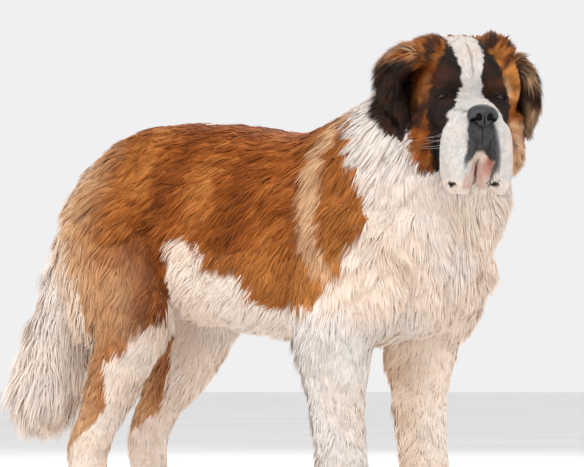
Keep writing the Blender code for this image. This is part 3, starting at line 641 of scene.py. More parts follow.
# Each guide has its place (forward, left, up), its lie (forward, outward, up), and the tufts' length, lift in
# degrees, width and curl. Lengths are metres. A guide beside the middle stands for both sides.
BODY_GUIDES = {
    "back": [
        ((0.10, 0.00, 0.78), (-1, 0, -0.1), 0.045, 13, 0.0046, 0.002),
        ((0.08, 0.11, 0.75), (-1, 0, -0.35), 0.048, 13, 0.0046, 0.002),
        ((-0.15, 0.00, 0.79), (-1, 0, -0.1), 0.042, 14, 0.0046, 0.002),
        ((-0.15, 0.10, 0.75), (-1, 0, -0.4), 0.046, 14, 0.0046, 0.002),
        ((-0.36, 0.00, 0.79), (-1, 0, -0.3), 0.046, 15, 0.0046, 0.002),
        ((-0.36, 0.09, 0.75), (-0.9, 0.1, -0.6), 0.050, 15, 0.0046, 0.002),
        ((-0.45, 0.04, 0.66), (-0.3, 0.3, -1), 0.065, 20, 0.0050, 0.003),
    ],
    "flank": [
        ((0.12, 0.165, 0.62), (-0.75, 0, -0.6), 0.055, 15, 0.0041, 0.004),
        ((-0.10, 0.15, 0.62), (-0.85, 0, -0.5), 0.055, 15, 0.0041, 0.004),
        ((-0.26, 0.14, 0.66), (-0.75, 0, -0.65), 0.050, 15, 0.0041, 0.003),
        ((0.12, 0.14, 0.46), (-0.8, 0, -0.7), 0.066, 20, 0.0042, 0.005),
        ((-0.08, 0.13, 0.47), (-0.9, 0, -0.55), 0.062, 20, 0.0042, 0.005),
        ((-0.20, 0.09, 0.48), (-0.8, 0, -0.6), 0.056, 18, 0.0042, 0.004),
        ((0.10, 0.00, 0.40), (-0.8, 0, -0.7), 0.064, 22, 0.0043, 0.005),
        ((-0.16, 0.00, 0.43), (-0.8, 0, -0.6), 0.055, 20, 0.0043, 0.004),
    ],
    "collar": [
        ((0.18, 0.165, 0.68), (-0.8, 0.1, -0.65), 0.070, 15, 0.0040, 0.004),
        ((0.20, 0.00, 0.82), (-1, 0, -0.25), 0.060, 18, 0.0040, 0.003),
        ((0.29, 0.10, 0.83), (-0.75, 0.3, -0.6), 0.066, 15, 0.0040, 0.004),
        ((0.30, 0.16, 0.70), (-0.5, 0.2, -0.9), 0.074, 14, 0.0037, 0.006),
        ((0.36, 0.14, 0.77), (-0.35, 0.25, -0.95), 0.072, 15, 0.0037, 0.006),
        ((0.34, 0.00, 0.88), (-0.9, 0.2, -0.5), 0.070, 22, 0.0040, 0.004),
        ((0.41, 0.00, 0.70), (0, 0.05, -1), 0.078, 15, 0.0037, 0.008),
        ((0.39, 0.10, 0.72), (-0.1, 0.3, -1), 0.076, 14, 0.0037, 0.008),
    ],
    "chest": [
        ((0.44, 0.00, 0.57), (0, 0.05, -1), 0.068, 14, 0.0036, 0.009),
        ((0.40, 0.10, 0.60), (-0.1, 0.25, -1), 0.070, 14, 0.0036, 0.008),
        ((0.40, 0.00, 0.45), (-0.25, 0, -1), 0.046, 10, 0.0036, 0.007),
        ((0.37, 0.12, 0.47), (-0.2, 0.1, -1), 0.044, 10, 0.0036, 0.006),
        ((0.33, 0.08, 0.40), (-0.5, 0.1, -0.8), 0.036, 10, 0.0040, 0.005),
        ((0.26, 0.00, 0.38), (-0.6, 0, -0.9), 0.045, 16, 0.0044, 0.005),
    ],
    "foreleg": [
        ((0.28, 0.185, 0.58), (-0.2, 0.05, -1), 0.056, 12, 0.0042, 0.005),
        ((0.26, 0.190, 0.48), (-0.2, 0, -1), 0.044, 11, 0.0042, 0.004),
        ((0.33, 0.150, 0.48), (0, 0.1, -1), 0.044, 10, 0.0040, 0.004),
        ((0.30, 0.135, 0.34), (0, 0, -1), 0.030, 10, 0.0038, 0.002),
        ((0.26, 0.178, 0.30), (-0.25, 0, -1), 0.028, 11, 0.0038, 0.002),
        ((0.21, 0.135, 0.40), (-0.6, 0.1, -0.95), 0.060, 22, 0.0040, 0.005),
        ((0.212, 0.133, 0.28), (-0.5, 0.1, -0.95), 0.054, 24, 0.0038, 0.005),
        ((0.225, 0.130, 0.16), (-0.5, 0.1, -0.95), 0.042, 24, 0.0038, 0.003),
        ((0.26, 0.090, 0.30), (-0.3, 0, -1), 0.026, 14, 0.0042, 0.002),
        ((0.30, 0.135, 0.14), (0.05, 0, -1), 0.018, 14, 0.0032, 0.001),
        ((0.33, 0.130, 0.07), (0.5, 0, -0.8), 0.014, 14, 0.0028, 0.001),
        ((0.37, 0.130, 0.03), (0.8, 0, -0.5), 0.011, 12, 0.0026, 0.0),
        ((0.29, 0.130, 0.02), (0.1, 0.3, -0.8), 0.014, 14, 0.0028, 0.0),
    ],
    "hindleg": [
        ((-0.32, 0.175, 0.64), (-0.5, 0.05, -0.9), 0.056, 16, 0.0048, 0.004),
        ((-0.27, 0.185, 0.52), (-0.35, 0, -1), 0.054, 16, 0.0048, 0.004),
        ((-0.19, 0.120, 0.52), (-0.3, 0, -1), 0.048, 16, 0.0046, 0.003),
        ((-0.43, 0.100, 0.58), (-0.45, 0.1, -1), 0.080, 26, 0.0052, 0.006),
        ((-0.37, 0.120, 0.46), (-0.4, 0.05, -1), 0.080, 28, 0.0052, 0.006),
        ((-0.22, 0.115, 0.40), (-0.5, 0, -0.8), 0.036, 14, 0.0042, 0.002),
        ((-0.28, 0.155, 0.36), (-0.55, 0, -0.8), 0.036, 14, 0.0042, 0.002),
        ((-0.345, 0.110, 0.34), (-0.5, 0.05, -0.9), 0.058, 28, 0.0046, 0.004),
        ((-0.34, 0.135, 0.25), (-0.6, 0, -0.8), 0.026, 14, 0.0036, 0.001),
        ((-0.44, 0.105, 0.20), (-0.1, 0, -1), 0.024, 18, 0.0034, 0.001),
        ((-0.38, 0.140, 0.13), (0, 0, -1), 0.016, 14, 0.0032, 0.001),
        ((-0.35, 0.105, 0.12), (0.05, 0, -1), 0.016, 14, 0.0030, 0.001),
        ((-0.32, 0.105, 0.06), (0.5, 0, -0.8), 0.013, 14, 0.0028, 0.001),
        ((-0.28, 0.105, 0.03), (0.8, 0, -0.5), 0.011, 12, 0.0026, 0.0),
        ((-0.26, 0.070, 0.50), (-0.4, 0, -1), 0.040, 16, 0.0050, 0.003),
    ],
    "tail": [
        ((-0.45, 0.00, 0.745), (-0.8, 0, -0.6), 0.055, 16, 0.0040, 0.002),
        ((-0.50, 0.00, 0.68), (-0.4, 0, -1), 0.070, 18, 0.0040, 0.003),
        ((-0.53, 0.03, 0.58), (-0.25, 0.2, -1), 0.090, 18, 0.0040, 0.004),
        ((-0.57, 0.00, 0.52), (-0.35, 0, -1), 0.095, 20, 0.0040, 0.004),
        ((-0.56, 0.03, 0.45), (-0.3, 0.25, -1), 0.110, 20, 0.0040, 0.005),
        ((-0.60, 0.00, 0.42), (-0.45, 0, -1), 0.115, 22, 0.0040, 0.005),
        ((-0.53, 0.00, 0.44), (0.05, 0, -1), 0.110, 22, 0.0040, 0.005),
        ((-0.60, 0.03, 0.34), (-0.35, 0.35, -1), 0.120, 24, 0.0040, 0.005),
        ((-0.57, 0.00, 0.32), (0.15, 0, -1), 0.110, 24, 0.0040, 0.005),
        ((-0.64, 0.00, 0.32), (-0.65, 0, -1), 0.110, 24, 0.0040, 0.005),
        ((-0.62, 0.00, 0.26), (-0.45, 0, -1), 0.095, 20, 0.0040, 0.005),
    ],
}

# The same on the head, with places in millimetres of its own frame.
HEAD_GUIDES = {
    "face": [
        ((76, 0, -8), (-1, 0, 0.2), 0.004, 16, 0.0016, 0),
        ((60, 30, -18), (-1, 0.3, 0), 0.005, 14, 0.0016, 0),
        ((90, 38, -60), (-0.7, 0.5, -0.7), 0.006, 14, 0.0017, 0),
        ((60, 62, -70), (-1, 0.1, -0.6), 0.007, 14, 0.0018, 0),
        ((84, 50, -125), (-0.4, 0.2, -1), 0.008, 14, 0.0018, 0),
        ((20, 62, -120), (-0.9, 0, -0.7), 0.010, 14, 0.0019, 0),
        ((14, 40, -12), (-1, 0.2, 0.1), 0.006, 14, 0.0017, 0),
        ((5, 0, 12), (-0.7, 0, 0.8), 0.006, 14, 0.0017, 0),
        ((-4, 52, 18), (-0.5, 0.5, 0.9), 0.009, 18, 0.0017, 0),
        ((-4, 50, -20), (-0.7, 0.5, -0.4), 0.006, 14, 0.0017, 0),
        ((-2, 16, 48), (-0.7, 0.2, 1), 0.010, 14, 0.0018, 0),
        ((-20, 50, 45), (-0.7, 0.5, 0.8), 0.012, 16, 0.0019, 0),
        ((-30, 74, 5), (-0.9, 0.2, -0.3), 0.012, 16, 0.0019, 0),
    ],
    "cheek": [
        ((-20, 74, -50), (-0.9, 0.3, -0.6), 0.015, 18, 0.0021, 0.001),
        ((-55, 84, -30), (-0.8, 0.5, -0.8), 0.028, 32, 0.0025, 0.001),
        ((-50, 80, -90), (-0.5, 0.6, -1), 0.036, 34, 0.0028, 0.002),
        ((-90, 90, -110), (-0.4, 0.6, -1), 0.048, 32, 0.0034, 0.003),
        ((-30, 50, -130), (-0.5, 0.2, -1), 0.026, 20, 0.0030, 0.002),
        ((40, 20, -128), (-0.8, 0.2, -0.7), 0.012, 16, 0.0026, 0.001),
        ((-60, 0, -140), (-0.3, 0, -1), 0.050, 22, 0.0042, 0.004),
    ],
    "crown": [
        ((-40, 20, 80), (-1, 0.2, 0.6), 0.014, 16, 0.0022, 0),
        ((-60, 60, 75), (-0.8, 0.6, 0.6), 0.036, 48, 0.0024, 0.001),
        ((-90, 0, 98), (-1, 0.1, 0.1), 0.026, 20, 0.0028, 0.001),
        ((-100, 60, 85), (-0.9, 0.4, 0), 0.044, 48, 0.0028, 0.002),
        ((-140, 0, 80), (-1, 0, -0.4), 0.050, 26, 0.0040, 0.003),
        ((-140, 85, 20), (-0.8, 0.3, -0.7), 0.056, 24, 0.0042, 0.003),
        ((-120, 90, -40), (-0.6, 0.3, -1), 0.056, 24, 0.0042, 0.003),
    ],
    "ear": [
        ((-80, 100, 75), (-0.5, 0.9, 0.2), 0.040, 44, 0.0026, 0.002),
        ((-95, 125, 50), (-0.5, 0.8, -0.5), 0.048, 48, 0.0026, 0.002),
        ((-60, 115, 40), (-0.1, 0.5, -1), 0.040, 22, 0.0028, 0.002),
        ((-80, 130, 0), (-0.2, 0.4, -1), 0.038, 30, 0.0024, 0.003),
        ((-110, 115, 0), (-0.3, 0.3, -1), 0.036, 26, 0.0026, 0.003),
        ((-40, 105, 0), (0.2, 0.2, -1), 0.038, 18, 0.0028, 0.002),
        ((-70, 110, -46), (-0.1, 0.1, -1), 0.036, 16, 0.0028, 0.003),
    ],
}


def guide_table():
    """Every guide on both sides, as rows of numbers, with its region's name."""
    rows, names = [], []
    turn = np.array(HEAD.to_3x3())
    for guides, on_head in ((BODY_GUIDES, False), (HEAD_GUIDES, True)):
        for name, found in guides.items():
            for place, lie, *sizes in found:
                for side in (-1, 1):
                    if side > 0 and place[1] == 0:
                        continue
                    at = spot(place[0], side * place[1], place[2])
                    way = np.array(spot(lie[0], side * lie[1], lie[2]))
                    if on_head:
                        at, way = MILLIMETRES @ at, turn @ way
                    rows.append([*at, *(way / np.linalg.norm(way)), *sizes])
                    names.append(name)
    return np.array(rows), names


def coat_fields(points, ears):
    """Lie, length, lift, width, curl and region of the coat at each point, between the nearest guides."""
    rows, names = guide_table()
    regions = sorted(set(names))
    label = np.array([regions.index(name) for name in names])
    is_ear = np.array([name == "ear" for name in names])
    values, region = np.empty((len(points), 7)), np.empty(len(points), int)
    for start in range(0, len(points), 20000):
        block = slice(start, start + 20000)
        away = ((points[block, None, :] - rows[None, :, :3]) ** 2).sum(-1)
        weight = 1 / (away + 0.0004) ** 2
        weight *= np.where(ears[block, None] == is_ear[None, :], 1.0, 1e-9)
        region[block] = label[weight.argmax(1)]
        values[block] = weight @ rows[:, 3:] / weight.sum(1)[:, None]
    return unit(values[:, :3]), values[:, 3:], region, regions


# Finishes


class Number:
    """A shader's number: sums on it add Math nodes."""

    def __init__(self, finish, socket):
        self.finish, self.socket = finish, socket

    def made(self, operation, first, second):
        return self.finish.number("ShaderNodeMath", {"operation": operation}, {0: first, 1: second})

    def __add__(self, other):
        return self.made("ADD", self, other)

    __radd__ = __add__

    def __mul__(self, other):
        return self.made("MULTIPLY", self, other)

    __rmul__ = __mul__


class Finish:
    """A material and the nodes that feed its shader."""

    def __init__(self, name, **constants):
        self.material = bpy.data.materials.new(name)
        self.material.use_nodes = True
        self.tree = self.material.node_tree
        self.shader = self.tree.nodes["Principled BSDF"]
        for key, value in constants.items():
            self.shader.inputs[key.replace("_", " ").title().replace("Ior", "IOR")].default_value = value

    def node(self, kind, settings=None, sockets=None):
        node = self.tree.nodes.new(kind)
        for key, value in (settings or {}).items():
            if key == "stops":
                ramp = node.color_ramp
                for i, (place, colour) in enumerate(value):
                    stop = ramp.elements[i] if i < 2 else ramp.elements.new(place)
                    stop.position, stop.color = place, (*colour, 1)
            else:
                setattr(node, key, value)
        for key, value in (sockets or {}).items():
            self.feed(node.inputs[key], value)
        return node

    def feed(self, target, value):
        if isinstance(value, Number):
            value = value.socket
        if isinstance(value, bpy.types.NodeSocket):
            self.tree.links.new(value, target)
        else:
            target.default_value = value

    def number(self, kind, settings=None, sockets=None, output=0):
        return Number(self, self.node(kind, settings, sockets).outputs[output])

    def place(self):
        return self.node("ShaderNodeTexCoord").outputs["Object"]

    def noise(self, vector, scale, detail=3.0, roughness=0.6):
        sockets = {"Vector": vector, "Scale": scale, "Detail": detail, "Roughness": roughness}
        return self.number("ShaderNodeTexNoise", None, sockets)

    def mix(self, share, first, second, blend="MIX"):
        node = self.node("ShaderNodeMix", {"data_type": "RGBA", "blend_type": blend})
        for key, value in ((0, share), (6, first), (7, second)):
            self.feed(node.inputs[key], value)
        return node.outputs[2]

    def attribute(self, name, output="Color"):
        return self.node("ShaderNodeAttribute", {"attribute_name": name}).outputs[output]

    def ramp(self, value, stops):
        return self.node("ShaderNodeValToRGB", {"stops": stops}, {0: value}).outputs[0]

    def bump(self, height, strength, distance):
        sockets = {"Height": height, "Strength": strength, "Distance": distance}
        node = self.node("ShaderNodeBump", None, sockets)
        self.feed(self.shader.inputs["Normal"], node.outputs[0])

    def base(self, colour):
        self.feed(self.shader.inputs["Base Color"], colour)

    def rough(self, value):
        self.feed(self.shader.inputs["Roughness"], value)


def coat_finish():
    """Hair: the markings' colour, streaked along every tuft."""
    finish = Finish("Hair", roughness=0.6, specular_ior_level=0.07)
    stretch = finish.node("ShaderNodeVectorMath", {"operation": "MULTIPLY"}, {1: (5.0, 0.9, 60.0)})
    finish.feed(stretch.inputs[0], finish.attribute("strand", "Vector"))
    streak = finish.noise(stretch.outputs[0], 1.0, 2.0)
    tone = finish.ramp(streak, [(0.30, (0.90, 0.88, 0.86)), (0.70, (1.05, 1.05, 1.05))])
    finish.base(finish.mix(1.0, finish.attribute("coat_colour"), tone, "MULTIPLY"))
    finish.rough(streak * 0.25 + 0.48)
    finish.bump(streak, 0.25, 0.0005)
    return finish.material


def skin_finish():
    """The skin under the coat, with the same markings and the short hair's grain."""
    finish = Finish("Skin", specular_ior_level=0.12)
    place = finish.place()
    grain = finish.noise(place, 900.0, 2.0)
    broad = finish.noise(place, 60.0, 3.0)
    tone = finish.ramp(grain, [(0.30, (0.80, 0.78, 0.76)), (0.70, (1.0, 1.0, 1.0))])
    finish.base(finish.mix(1.0, finish.attribute("coat_colour"), tone, "MULTIPLY"))
    finish.rough(broad * 0.2 + 0.55)
    finish.bump(grain + broad * 0.5, 0.5, 0.001)
    return finish.material


def nose_finish():
    finish = Finish("Nose leather", specular_ior_level=0.5, coat_weight=0.25, coat_roughness=0.25)
    place = finish.place()
    sockets = {"Vector": place, "Scale": 560.0}
    pebble = finish.number("ShaderNodeTexVoronoi", {"feature": "SMOOTH_F1"}, sockets)
    cloud = finish.noise(place, 90.0)
    finish.base(finish.ramp(cloud, [(0.35, (0.008, 0.008, 0.009)), (0.75, (0.036, 0.038, 0.044))]))
    finish.rough(pebble * 0.3 + 0.34)
    finish.bump(pebble, 0.6, 0.0007)
    return finish.material


def eye_finish():
    """Pupil, brown iris and reddish white, by the angle from the line of sight as a share of GAZE_SPAN."""
    finish = Finish("Eye", coat_weight=0.7, coat_roughness=0.03, roughness=0.22, specular_ior_level=0.3)
    angle = finish.attribute("from_gaze", "Fac")
    cloud = finish.noise(finish.place(), 700.0, 2.0)
    stops = [(0.0, (0.002, 0.002, 0.002)), (0.145, (0.004, 0.003, 0.002)), (0.165, (0.040, 0.015, 0.006)),
             (0.30, (0.024, 0.010, 0.005)), (0.345, (0.010, 0.006, 0.005)), (0.375, (0.20, 0.09, 0.07)),
             (0.60, (0.42, 0.17, 0.13))]
    finish.base(finish.ramp(angle, stops))
    finish.bump(cloud, 0.05, 0.0002)
    return finish.material


def clouded(name, scale, stops, rough, bump=None, detail=3.0, **constants):
    """A finish whose colour, gloss and grain all follow one cloudy noise."""
    finish = Finish(name, **constants)
    cloud = finish.noise(finish.place(), scale, detail)
    finish.base(finish.ramp(cloud, stops))
    finish.rough(cloud * rough[0] + rough[1])
    if bump:
        finish.bump(cloud, *bump)
    return finish.material


def lid_finish():
    stops = [(0.3, (0.050, 0.038, 0.036)), (0.7, (0.130, 0.095, 0.090))]
    gloss = {"specular_ior_level": 0.5, "coat_weight": 0.3, "coat_roughness": 0.3}
    return clouded("Lid rim", 260.0, stops, (0.3, 0.35), (0.4, 0.0006), **gloss)


def claw_finish():
    stops = [(0.3, (0.11, 0.075, 0.055)), (0.7, (0.34, 0.26, 0.20))]
    return clouded("Claw horn", 240.0, stops, (0.25, 0.28), (0.3, 0.0004), specular_ior_level=0.5)


def whisker_finish():
    stops = [(0.2, (0.70, 0.67, 0.62)), (0.8, (0.90, 0.88, 0.85))]
    return clouded("Whisker", 300.0, stops, (0.1, 0.35), specular_ior_level=0.5)


def floor_finish():
    stops = [(0.3, (0.80, 0.80, 0.80)), (0.7, (0.86, 0.86, 0.86))]
    return clouded("Pale floor", 0.7, stops, (0.1, 0.7), detail=2.0, specular_ior_level=0.2)


# The skin


def trunk_shapes():
    torso = [
        (-0.455, 0, 0.645, 0.060, 0.060, 0.070),
        (-0.420, 0, 0.645, 0.105, 0.118, 0.115),
        (-0.340, 0, 0.635, 0.132, 0.172, 0.155),
        (-0.230, 0, 0.625, 0.138, 0.196, 0.175),
        (-0.100, 0, 0.605, 0.150, 0.206, 0.180),
        (0.040, 0, 0.585, 0.160, 0.203, 0.180),
        (0.150, 0, 0.575, 0.165, 0.195, 0.185),
        (0.250, 0, 0.565, 0.160, 0.185, 0.185),
        (0.340, 0, 0.560, 0.140, 0.150, 0.165),
        (0.410, 0, 0.555, 0.105, 0.110, 0.125),
        (0.448, 0, 0.550, 0.055, 0.060, 0.070),
    ]
    neck = [
        (0.100, 0, 0.590, 0.130, 0.170, 0.150),
        (0.190, 0, 0.630, 0.150, 0.168, 0.180),
        (0.270, 0.010, 0.685, 0.152, 0.142, 0.180),
        (0.340, 0.020, 0.745, 0.142, 0.121, 0.165),
        (0.395, 0.030, 0.800, 0.114, 0.104, 0.132),
        (0.440, 0.025, 0.850, 0.085, 0.078, 0.095),
    ]
    tail = [
        (-0.380, 0, 0.725, 0.050, 0.045, 0.045),
        (-0.430, 0, 0.705, 0.046, 0.042, 0.042),
        (-0.482, 0, 0.665, 0.038, 0.036, 0.038),
        (-0.515, 0, 0.590, 0.032, 0.032, 0.034),
        (-0.540, 0, 0.500, 0.038, 0.045, 0.038),
        (-0.568, 0, 0.410, 0.044, 0.058, 0.042),
        (-0.600, 0, 0.330, 0.044, 0.064, 0.038),
        (-0.632, 0, 0.270, 0.026, 0.044, 0.024),
    ]
    shapes = [
        loft(torso, sides=28, square=2.3),
        ellipsoid((0.335, 0, 0.482), (0.105, 0.11, 0.085)),
        *(ellipsoid((0.322, side * 0.130, 0.500), (0.080, 0.062, 0.120)) for side in SIDES.values()),
        loft(neck, sides=24),
        ellipsoid((0.368, 0.02, 0.645), (0.090, 0.12, 0.095)),
        ellipsoid((0.378, 0.080, 0.665), (0.085, 0.112, 0.125)),
        ellipsoid((0.375, 0.085, 0.530), (0.065, 0.075, 0.090)),
        loft(tail, sides=16),
    ]
    for side in SIDES.values():
        shapes += [loft(foreleg_rows(side), sides=18), loft(hindleg_rows(side), sides=18)]
    return shapes


def foreleg_rows(side):
    track = side * FORE_TRACK
    return [
        (0.270, track * 0.70, 0.640, 0.050, 0.070, 0.090),
        (0.280, track * 0.95, 0.550, 0.074, 0.085, 0.105),
        (0.258, track * 1.06, 0.450, 0.070, 0.098, 0.080),
        (0.252, track * 1.05, 0.380, 0.060, 0.084, 0.064),
        (0.258, track * 1.02, 0.280, 0.047, 0.053, 0.050),
        (0.266, track, 0.190, 0.041, 0.044, 0.043),
        (0.270, track, 0.150, 0.042, 0.046, 0.043),
        (0.280, track, 0.090, 0.038, 0.040, 0.038),
        (0.300, track, 0.045, 0.040, 0.040, 0.036),
    ]


def hindleg_rows(side):
    track = side * HIND_TRACK
    hock, rise = HOCKS[side]
    knee = -0.018 if side > 0 else 0.0
    return [
        (-0.330, track * 0.75, 0.700, 0.050, 0.080, 0.080),
        (-0.315, track * 1.02, 0.610, 0.078, 0.115, 0.120),
        (-0.275, track * 1.10, 0.500, 0.073, 0.095, 0.125),
        (-0.245 + knee, track * 1.10, 0.430, 0.060, 0.070, 0.095),
        (-0.285 + knee, track * 1.07, 0.345, 0.047, 0.052, 0.068),
        (hock + 0.040, track * 1.02, rise + 0.065, 0.036, 0.040, 0.047),
        (hock, track, rise, 0.034, 0.043, 0.044),
        (hock - 0.002, track, rise - 0.045, 0.034, 0.038, 0.040),
        (hock + 0.010, track, 0.085, 0.035, 0.037, 0.038),
        (hock + 0.030, track, 0.045, 0.037, 0.036, 0.036),
    ]


def paw_shapes():
    shapes = []
    for forward, track in FEET:
        shapes.append(ellipsoid((forward, track, 0.028), (0.062, 0.048, 0.044)))
        for across, ahead, width in TOES:
            shapes.append(ellipsoid((forward + ahead, track + across, 0.026), (0.036, width, 0.032)))
    return shapes


def skull_shapes():
    muzzle = [
        (-30, 0, -30, 40, 34, 50),
        (0, 0, -34, 43, 35, 52),
        (35, 0, -40, 45, 38, 46),
        (70, 0, -45, 44, 36, 40),
        (90, 0, -48, 36, 30, 32),
    ]
    jaw = [
        (-80, 0, -96, 54, 40, 30),
        (-20, 0, -106, 44, 32, 26),
        (30, 0, -110, 36, 26, 24),
        (62, 0, -112, 28, 18, 20),
        (76, 0, -110, 18, 10, 14),
    ]
    nape = [(-50, 0, -10, 82, 84, 106), (-110, 0, -20, 98, 94, 126), (-160, 0, -40, 98, 90, 126)]
    return [
        head_ball(-84, 0, 34, 96, 80, 63),
        *head_balls(-30, 31, 32, 36, 34, 36),
        *head_balls(-62, 55, -16, 62, 38, 48),
        *head_balls(-84, 48, -70, 64, 42, 54),
        *head_balls(2, 42, -32, 36, 26, 30),
        loft(muzzle, sides=24, matrix=MILLIMETRES),
        loft(jaw, sides=20, matrix=MILLIMETRES),
        loft(nape, sides=24, matrix=MILLIMETRES),
    ]


def face_shapes():
    """The hanging lips, the brows and the lids' swell, laid on the skull."""
    shapes = []
    for side in SIDES.values():
        flew = [
            (-34, side * 40, -86, 10, 30, 22),
            (0, side * 42, -90, 16, 40, 50),
            (28, side * 43, -89, 19, 43, 70),
            (54, side * 41, -86, 22, 44, 86),
            (74, side * 37, -80, 22, 44, 84),
            (90, side * 29, -70, 17, 36, 58),
            (100, side * 22, -60, 8, 20, 26),
        ]
        shapes.append(loft(flew, sides=20, square=2.5, matrix=MILLIMETRES))
    return [
        *shapes,
        *head_balls(72, 22, -62, 26, 22, 30),
        *head_balls(EYE[0], EYE[1], EYE[2], 18, 19, 18),
        *head_balls(-14, 46, 14, 20, 24, 10, (0, 14, 0)),
        head_ball(92, 0, -28, 17, 26, 16),
        head_ball(87, -5, -68, 14, 26, 38),
        head_ball(80, MOUTH - 13, -130, 22, 14, 38, (0, 4, 0)),
        head_ball(80, MOUTH + 15, -130, 22, 15, 38, (0, -4, 0)),
        head_ball(54, -46, -128, 36, 17, 26),
        head_ball(54, 37, -128, 36, 18, 28),
        *head_balls(-84, 54, 70, 46, 33, 27),
        head_ball(-84, 52, 78, 40, 30, 26),
        head_ball(-46, 80, 24, 34, 16, 44, (0, -8, 0)),
        head_ball(-70, 86, -64, 42, 24, 40, (0, 10, 0)),
        *head_balls(-66, 66, -84, 58, 44, 72),
    ]


# The ears, as forward, left and up, half width along the head, and half thickness: the right one stands out.
EARS = {
    1: [(-84, 58, 60, 36, 22), (-84, 92, 56, 46, 19), (-82, 116, 30, 52, 16), (-78, 126, -4, 50, 14),
        (-72, 124, -34, 38, 12), (-66, 117, -54, 20, 9), (-63, 113, -64, 6, 4)],
    -1: [(-80, 58, 68, 38, 26), (-86, 96, 66, 50, 22), (-92, 124, 42, 52, 18), (-84, 130, 14, 48, 16),
         (-72, 121, -14, 38, 14), (-62, 108, -40, 26, 11), (-58, 98, -58, 12, 6), (-56, 96, -64, 6, 4)],
}


def ear_shape(side):
    stations = [
        (ahead, side * left, up, width * 0.92, thick * 0.8, thick * 0.8)
        for ahead, left, up, width, thick in EARS[side]
    ]
    shape = loft(stations, sides=16, side_axis=(0, -1, 0), matrix=MILLIMETRES)
    return fuse([shape], "ear", 0.003, 3)


def face_cutters():
    """The sockets, the lids' openings and the cleft between the lips."""
    cutters = []
    forward, left, up = EYE
    ball = EYE_RADIUS + 0.3
    for side in SIDES.values():
        cutters.append(head_ball(forward, side * left, up, ball, ball, ball))
        cutters.append(
            head_ball(forward + 12, side * (left + 1), -1.5, 12, 11.0, 7.4, (0, side * 12, side * 8))
        )
    cutters.append(head_ball(106, MOUTH, -134, 24, 1.3, 28, (0, -5, 0)))
    cutters.append(head_ball(106, 0, -62, 9, 1.2, 28))
    return cutters


def ear_test(points):
    """True where a point lies on either ear, away from its root."""
    found = np.zeros(len(points), bool)
    local = to_head(points)
    for side in SIDES.values():
        rows = smooth_rows(EARS[side], 6)
        rows[:, 1] *= side
        path = rows[:, :3]
        away = np.linalg.norm((local[:, None, :] - path[None]) / (1.0, 0.42, 1.0), axis=-1)
        near = away - rows[None, :, 3] * 1.25
        found |= (near.min(1) < 0) & (local[:, 1] * side > 84)
    return found


def part_of(points):
    """0 on the body, 1 on the head and 2 on the ears."""
    ahead, _, up = to_head(points).T
    head = step_between(0.874 * ahead + 0.486 * up, -134, -108) * step_between(up, -215, -150)
    return np.where(ear_test(points), 2.0, head)


def build_skin(voxel, fine):
    """One closed skin of the whole dog, sunk below the tips of the coat by the coat's depth."""
    trunk = fuse(trunk_shapes(), "trunk", voxel, 14)
    paws = fuse(paw_shapes(), "paws", fine, 3)
    face = fuse([fuse(skull_shapes(), "skull", fine, 30), *face_shapes()], "face", fine, 8)
    ears = [ear_shape(side) for side in SIDES.values()]
    obj = fuse([trunk, paws, face, *ears], "skin", fine * 1.12, 4)
    mesh = obj.data
    points = points_of(mesh)
    ears = ear_test(points)
    _, sizes, _, _ = coat_fields(points, ears)
    sunk = np.clip((sizes[:, 0] - 0.012) * 0.07, 0.0, 0.004)
    points = points - normals_of(mesh) * sunk[:, None]
    points[:, 2] = np.maximum(points[:, 2], LOWEST_SKIN)
    move_points(mesh, points)
    carve(obj, face_cutters())
    lighten = obj.modifiers.new("Lighten", "DECIMATE")
    count = sum(len(p.vertices) - 2 for p in obj.data.polygons)
    lighten.ratio = min(1.0, SKIN_TRIANGLES / count)
    applied(obj)
    return obj


def unwrapped(obj):
    """A light copy of the skin with an unwrap of its own shape, on which the tufts' places are looked up."""
    copy = linked("unwrap", obj.data.copy())
    lighten = copy.modifiers.new("Lighten", "DECIMATE")
    lighten.ratio = 0.04
    applied(copy)
    bpy.context.view_layer.objects.active = copy
    for other in bpy.context.selected_objects:
        other.select_set(False)
    copy.select_set(True)
    bpy.ops.object.mode_set(mode="EDIT")
    bpy.ops.mesh.select_all(action="SELECT")
    bpy.ops.uv.smart_project(angle_limit=math.radians(66), island_margin=0.004)
    bpy.ops.object.mode_set(mode="OBJECT")
    mesh = copy.data
    triangles = triangles_of(mesh)
    loops = np.empty(len(mesh.loop_triangles) * 3, np.int32)
    mesh.loop_triangles.foreach_get("loops", loops)
    uv = np.empty(len(mesh.loops) * 2, np.float32)
    mesh.uv_layers.active.data.foreach_get("uv", uv)
    corners = uv.reshape(-1, 2)[loops].reshape(-1, 3, 2)
    points = points_of(mesh)
    tree = BVHTree.FromPolygons([Vector(p) for p in points], [tuple(map(int, t)) for t in triangles])
    bpy.data.objects.remove(copy)
    return tree, points, triangles, corners


def places_on(unwrap, roots):
    """The unwrap's coordinates at each root."""
    tree, points, triangles, corners = unwrap
    index = np.array([tree.find_nearest(Vector(root))[2] for root in roots])
    a, b, c = (points[triangles[index, k]] for k in range(3))
    ab, ac, ap = b - a, c - a, roots - a
    d00, d01, d11 = dot(ab, ab)[:, 0], dot(ab, ac)[:, 0], dot(ac, ac)[:, 0]
    d20, d21 = dot(ap, ab)[:, 0], dot(ap, ac)[:, 0]
    down = np.maximum(d00 * d11 - d01 * d01, 1e-18)
    v, w = (d11 * d20 - d01 * d21) / down, (d00 * d21 - d01 * d20) / down
    share = np.clip(np.stack([1 - v - w, v, w], 1), 0, 1)
    share /= share.sum(1)[:, None]
    return (corners[index] * share[:, :, None]).sum(1)


# The coat

# A tuft's patch on the bake's map, the most triangles of a piece, and in metres how deep roots sink, how far
# apart they stand where no hair grows, and how far tips may pass the solids' box.
PATCH_SIZE = 0.003
MOST_TRIANGLES = 195000
SINK = 0.0012
BARE_SPACING = 0.2
BOX_MARGIN = 0.008
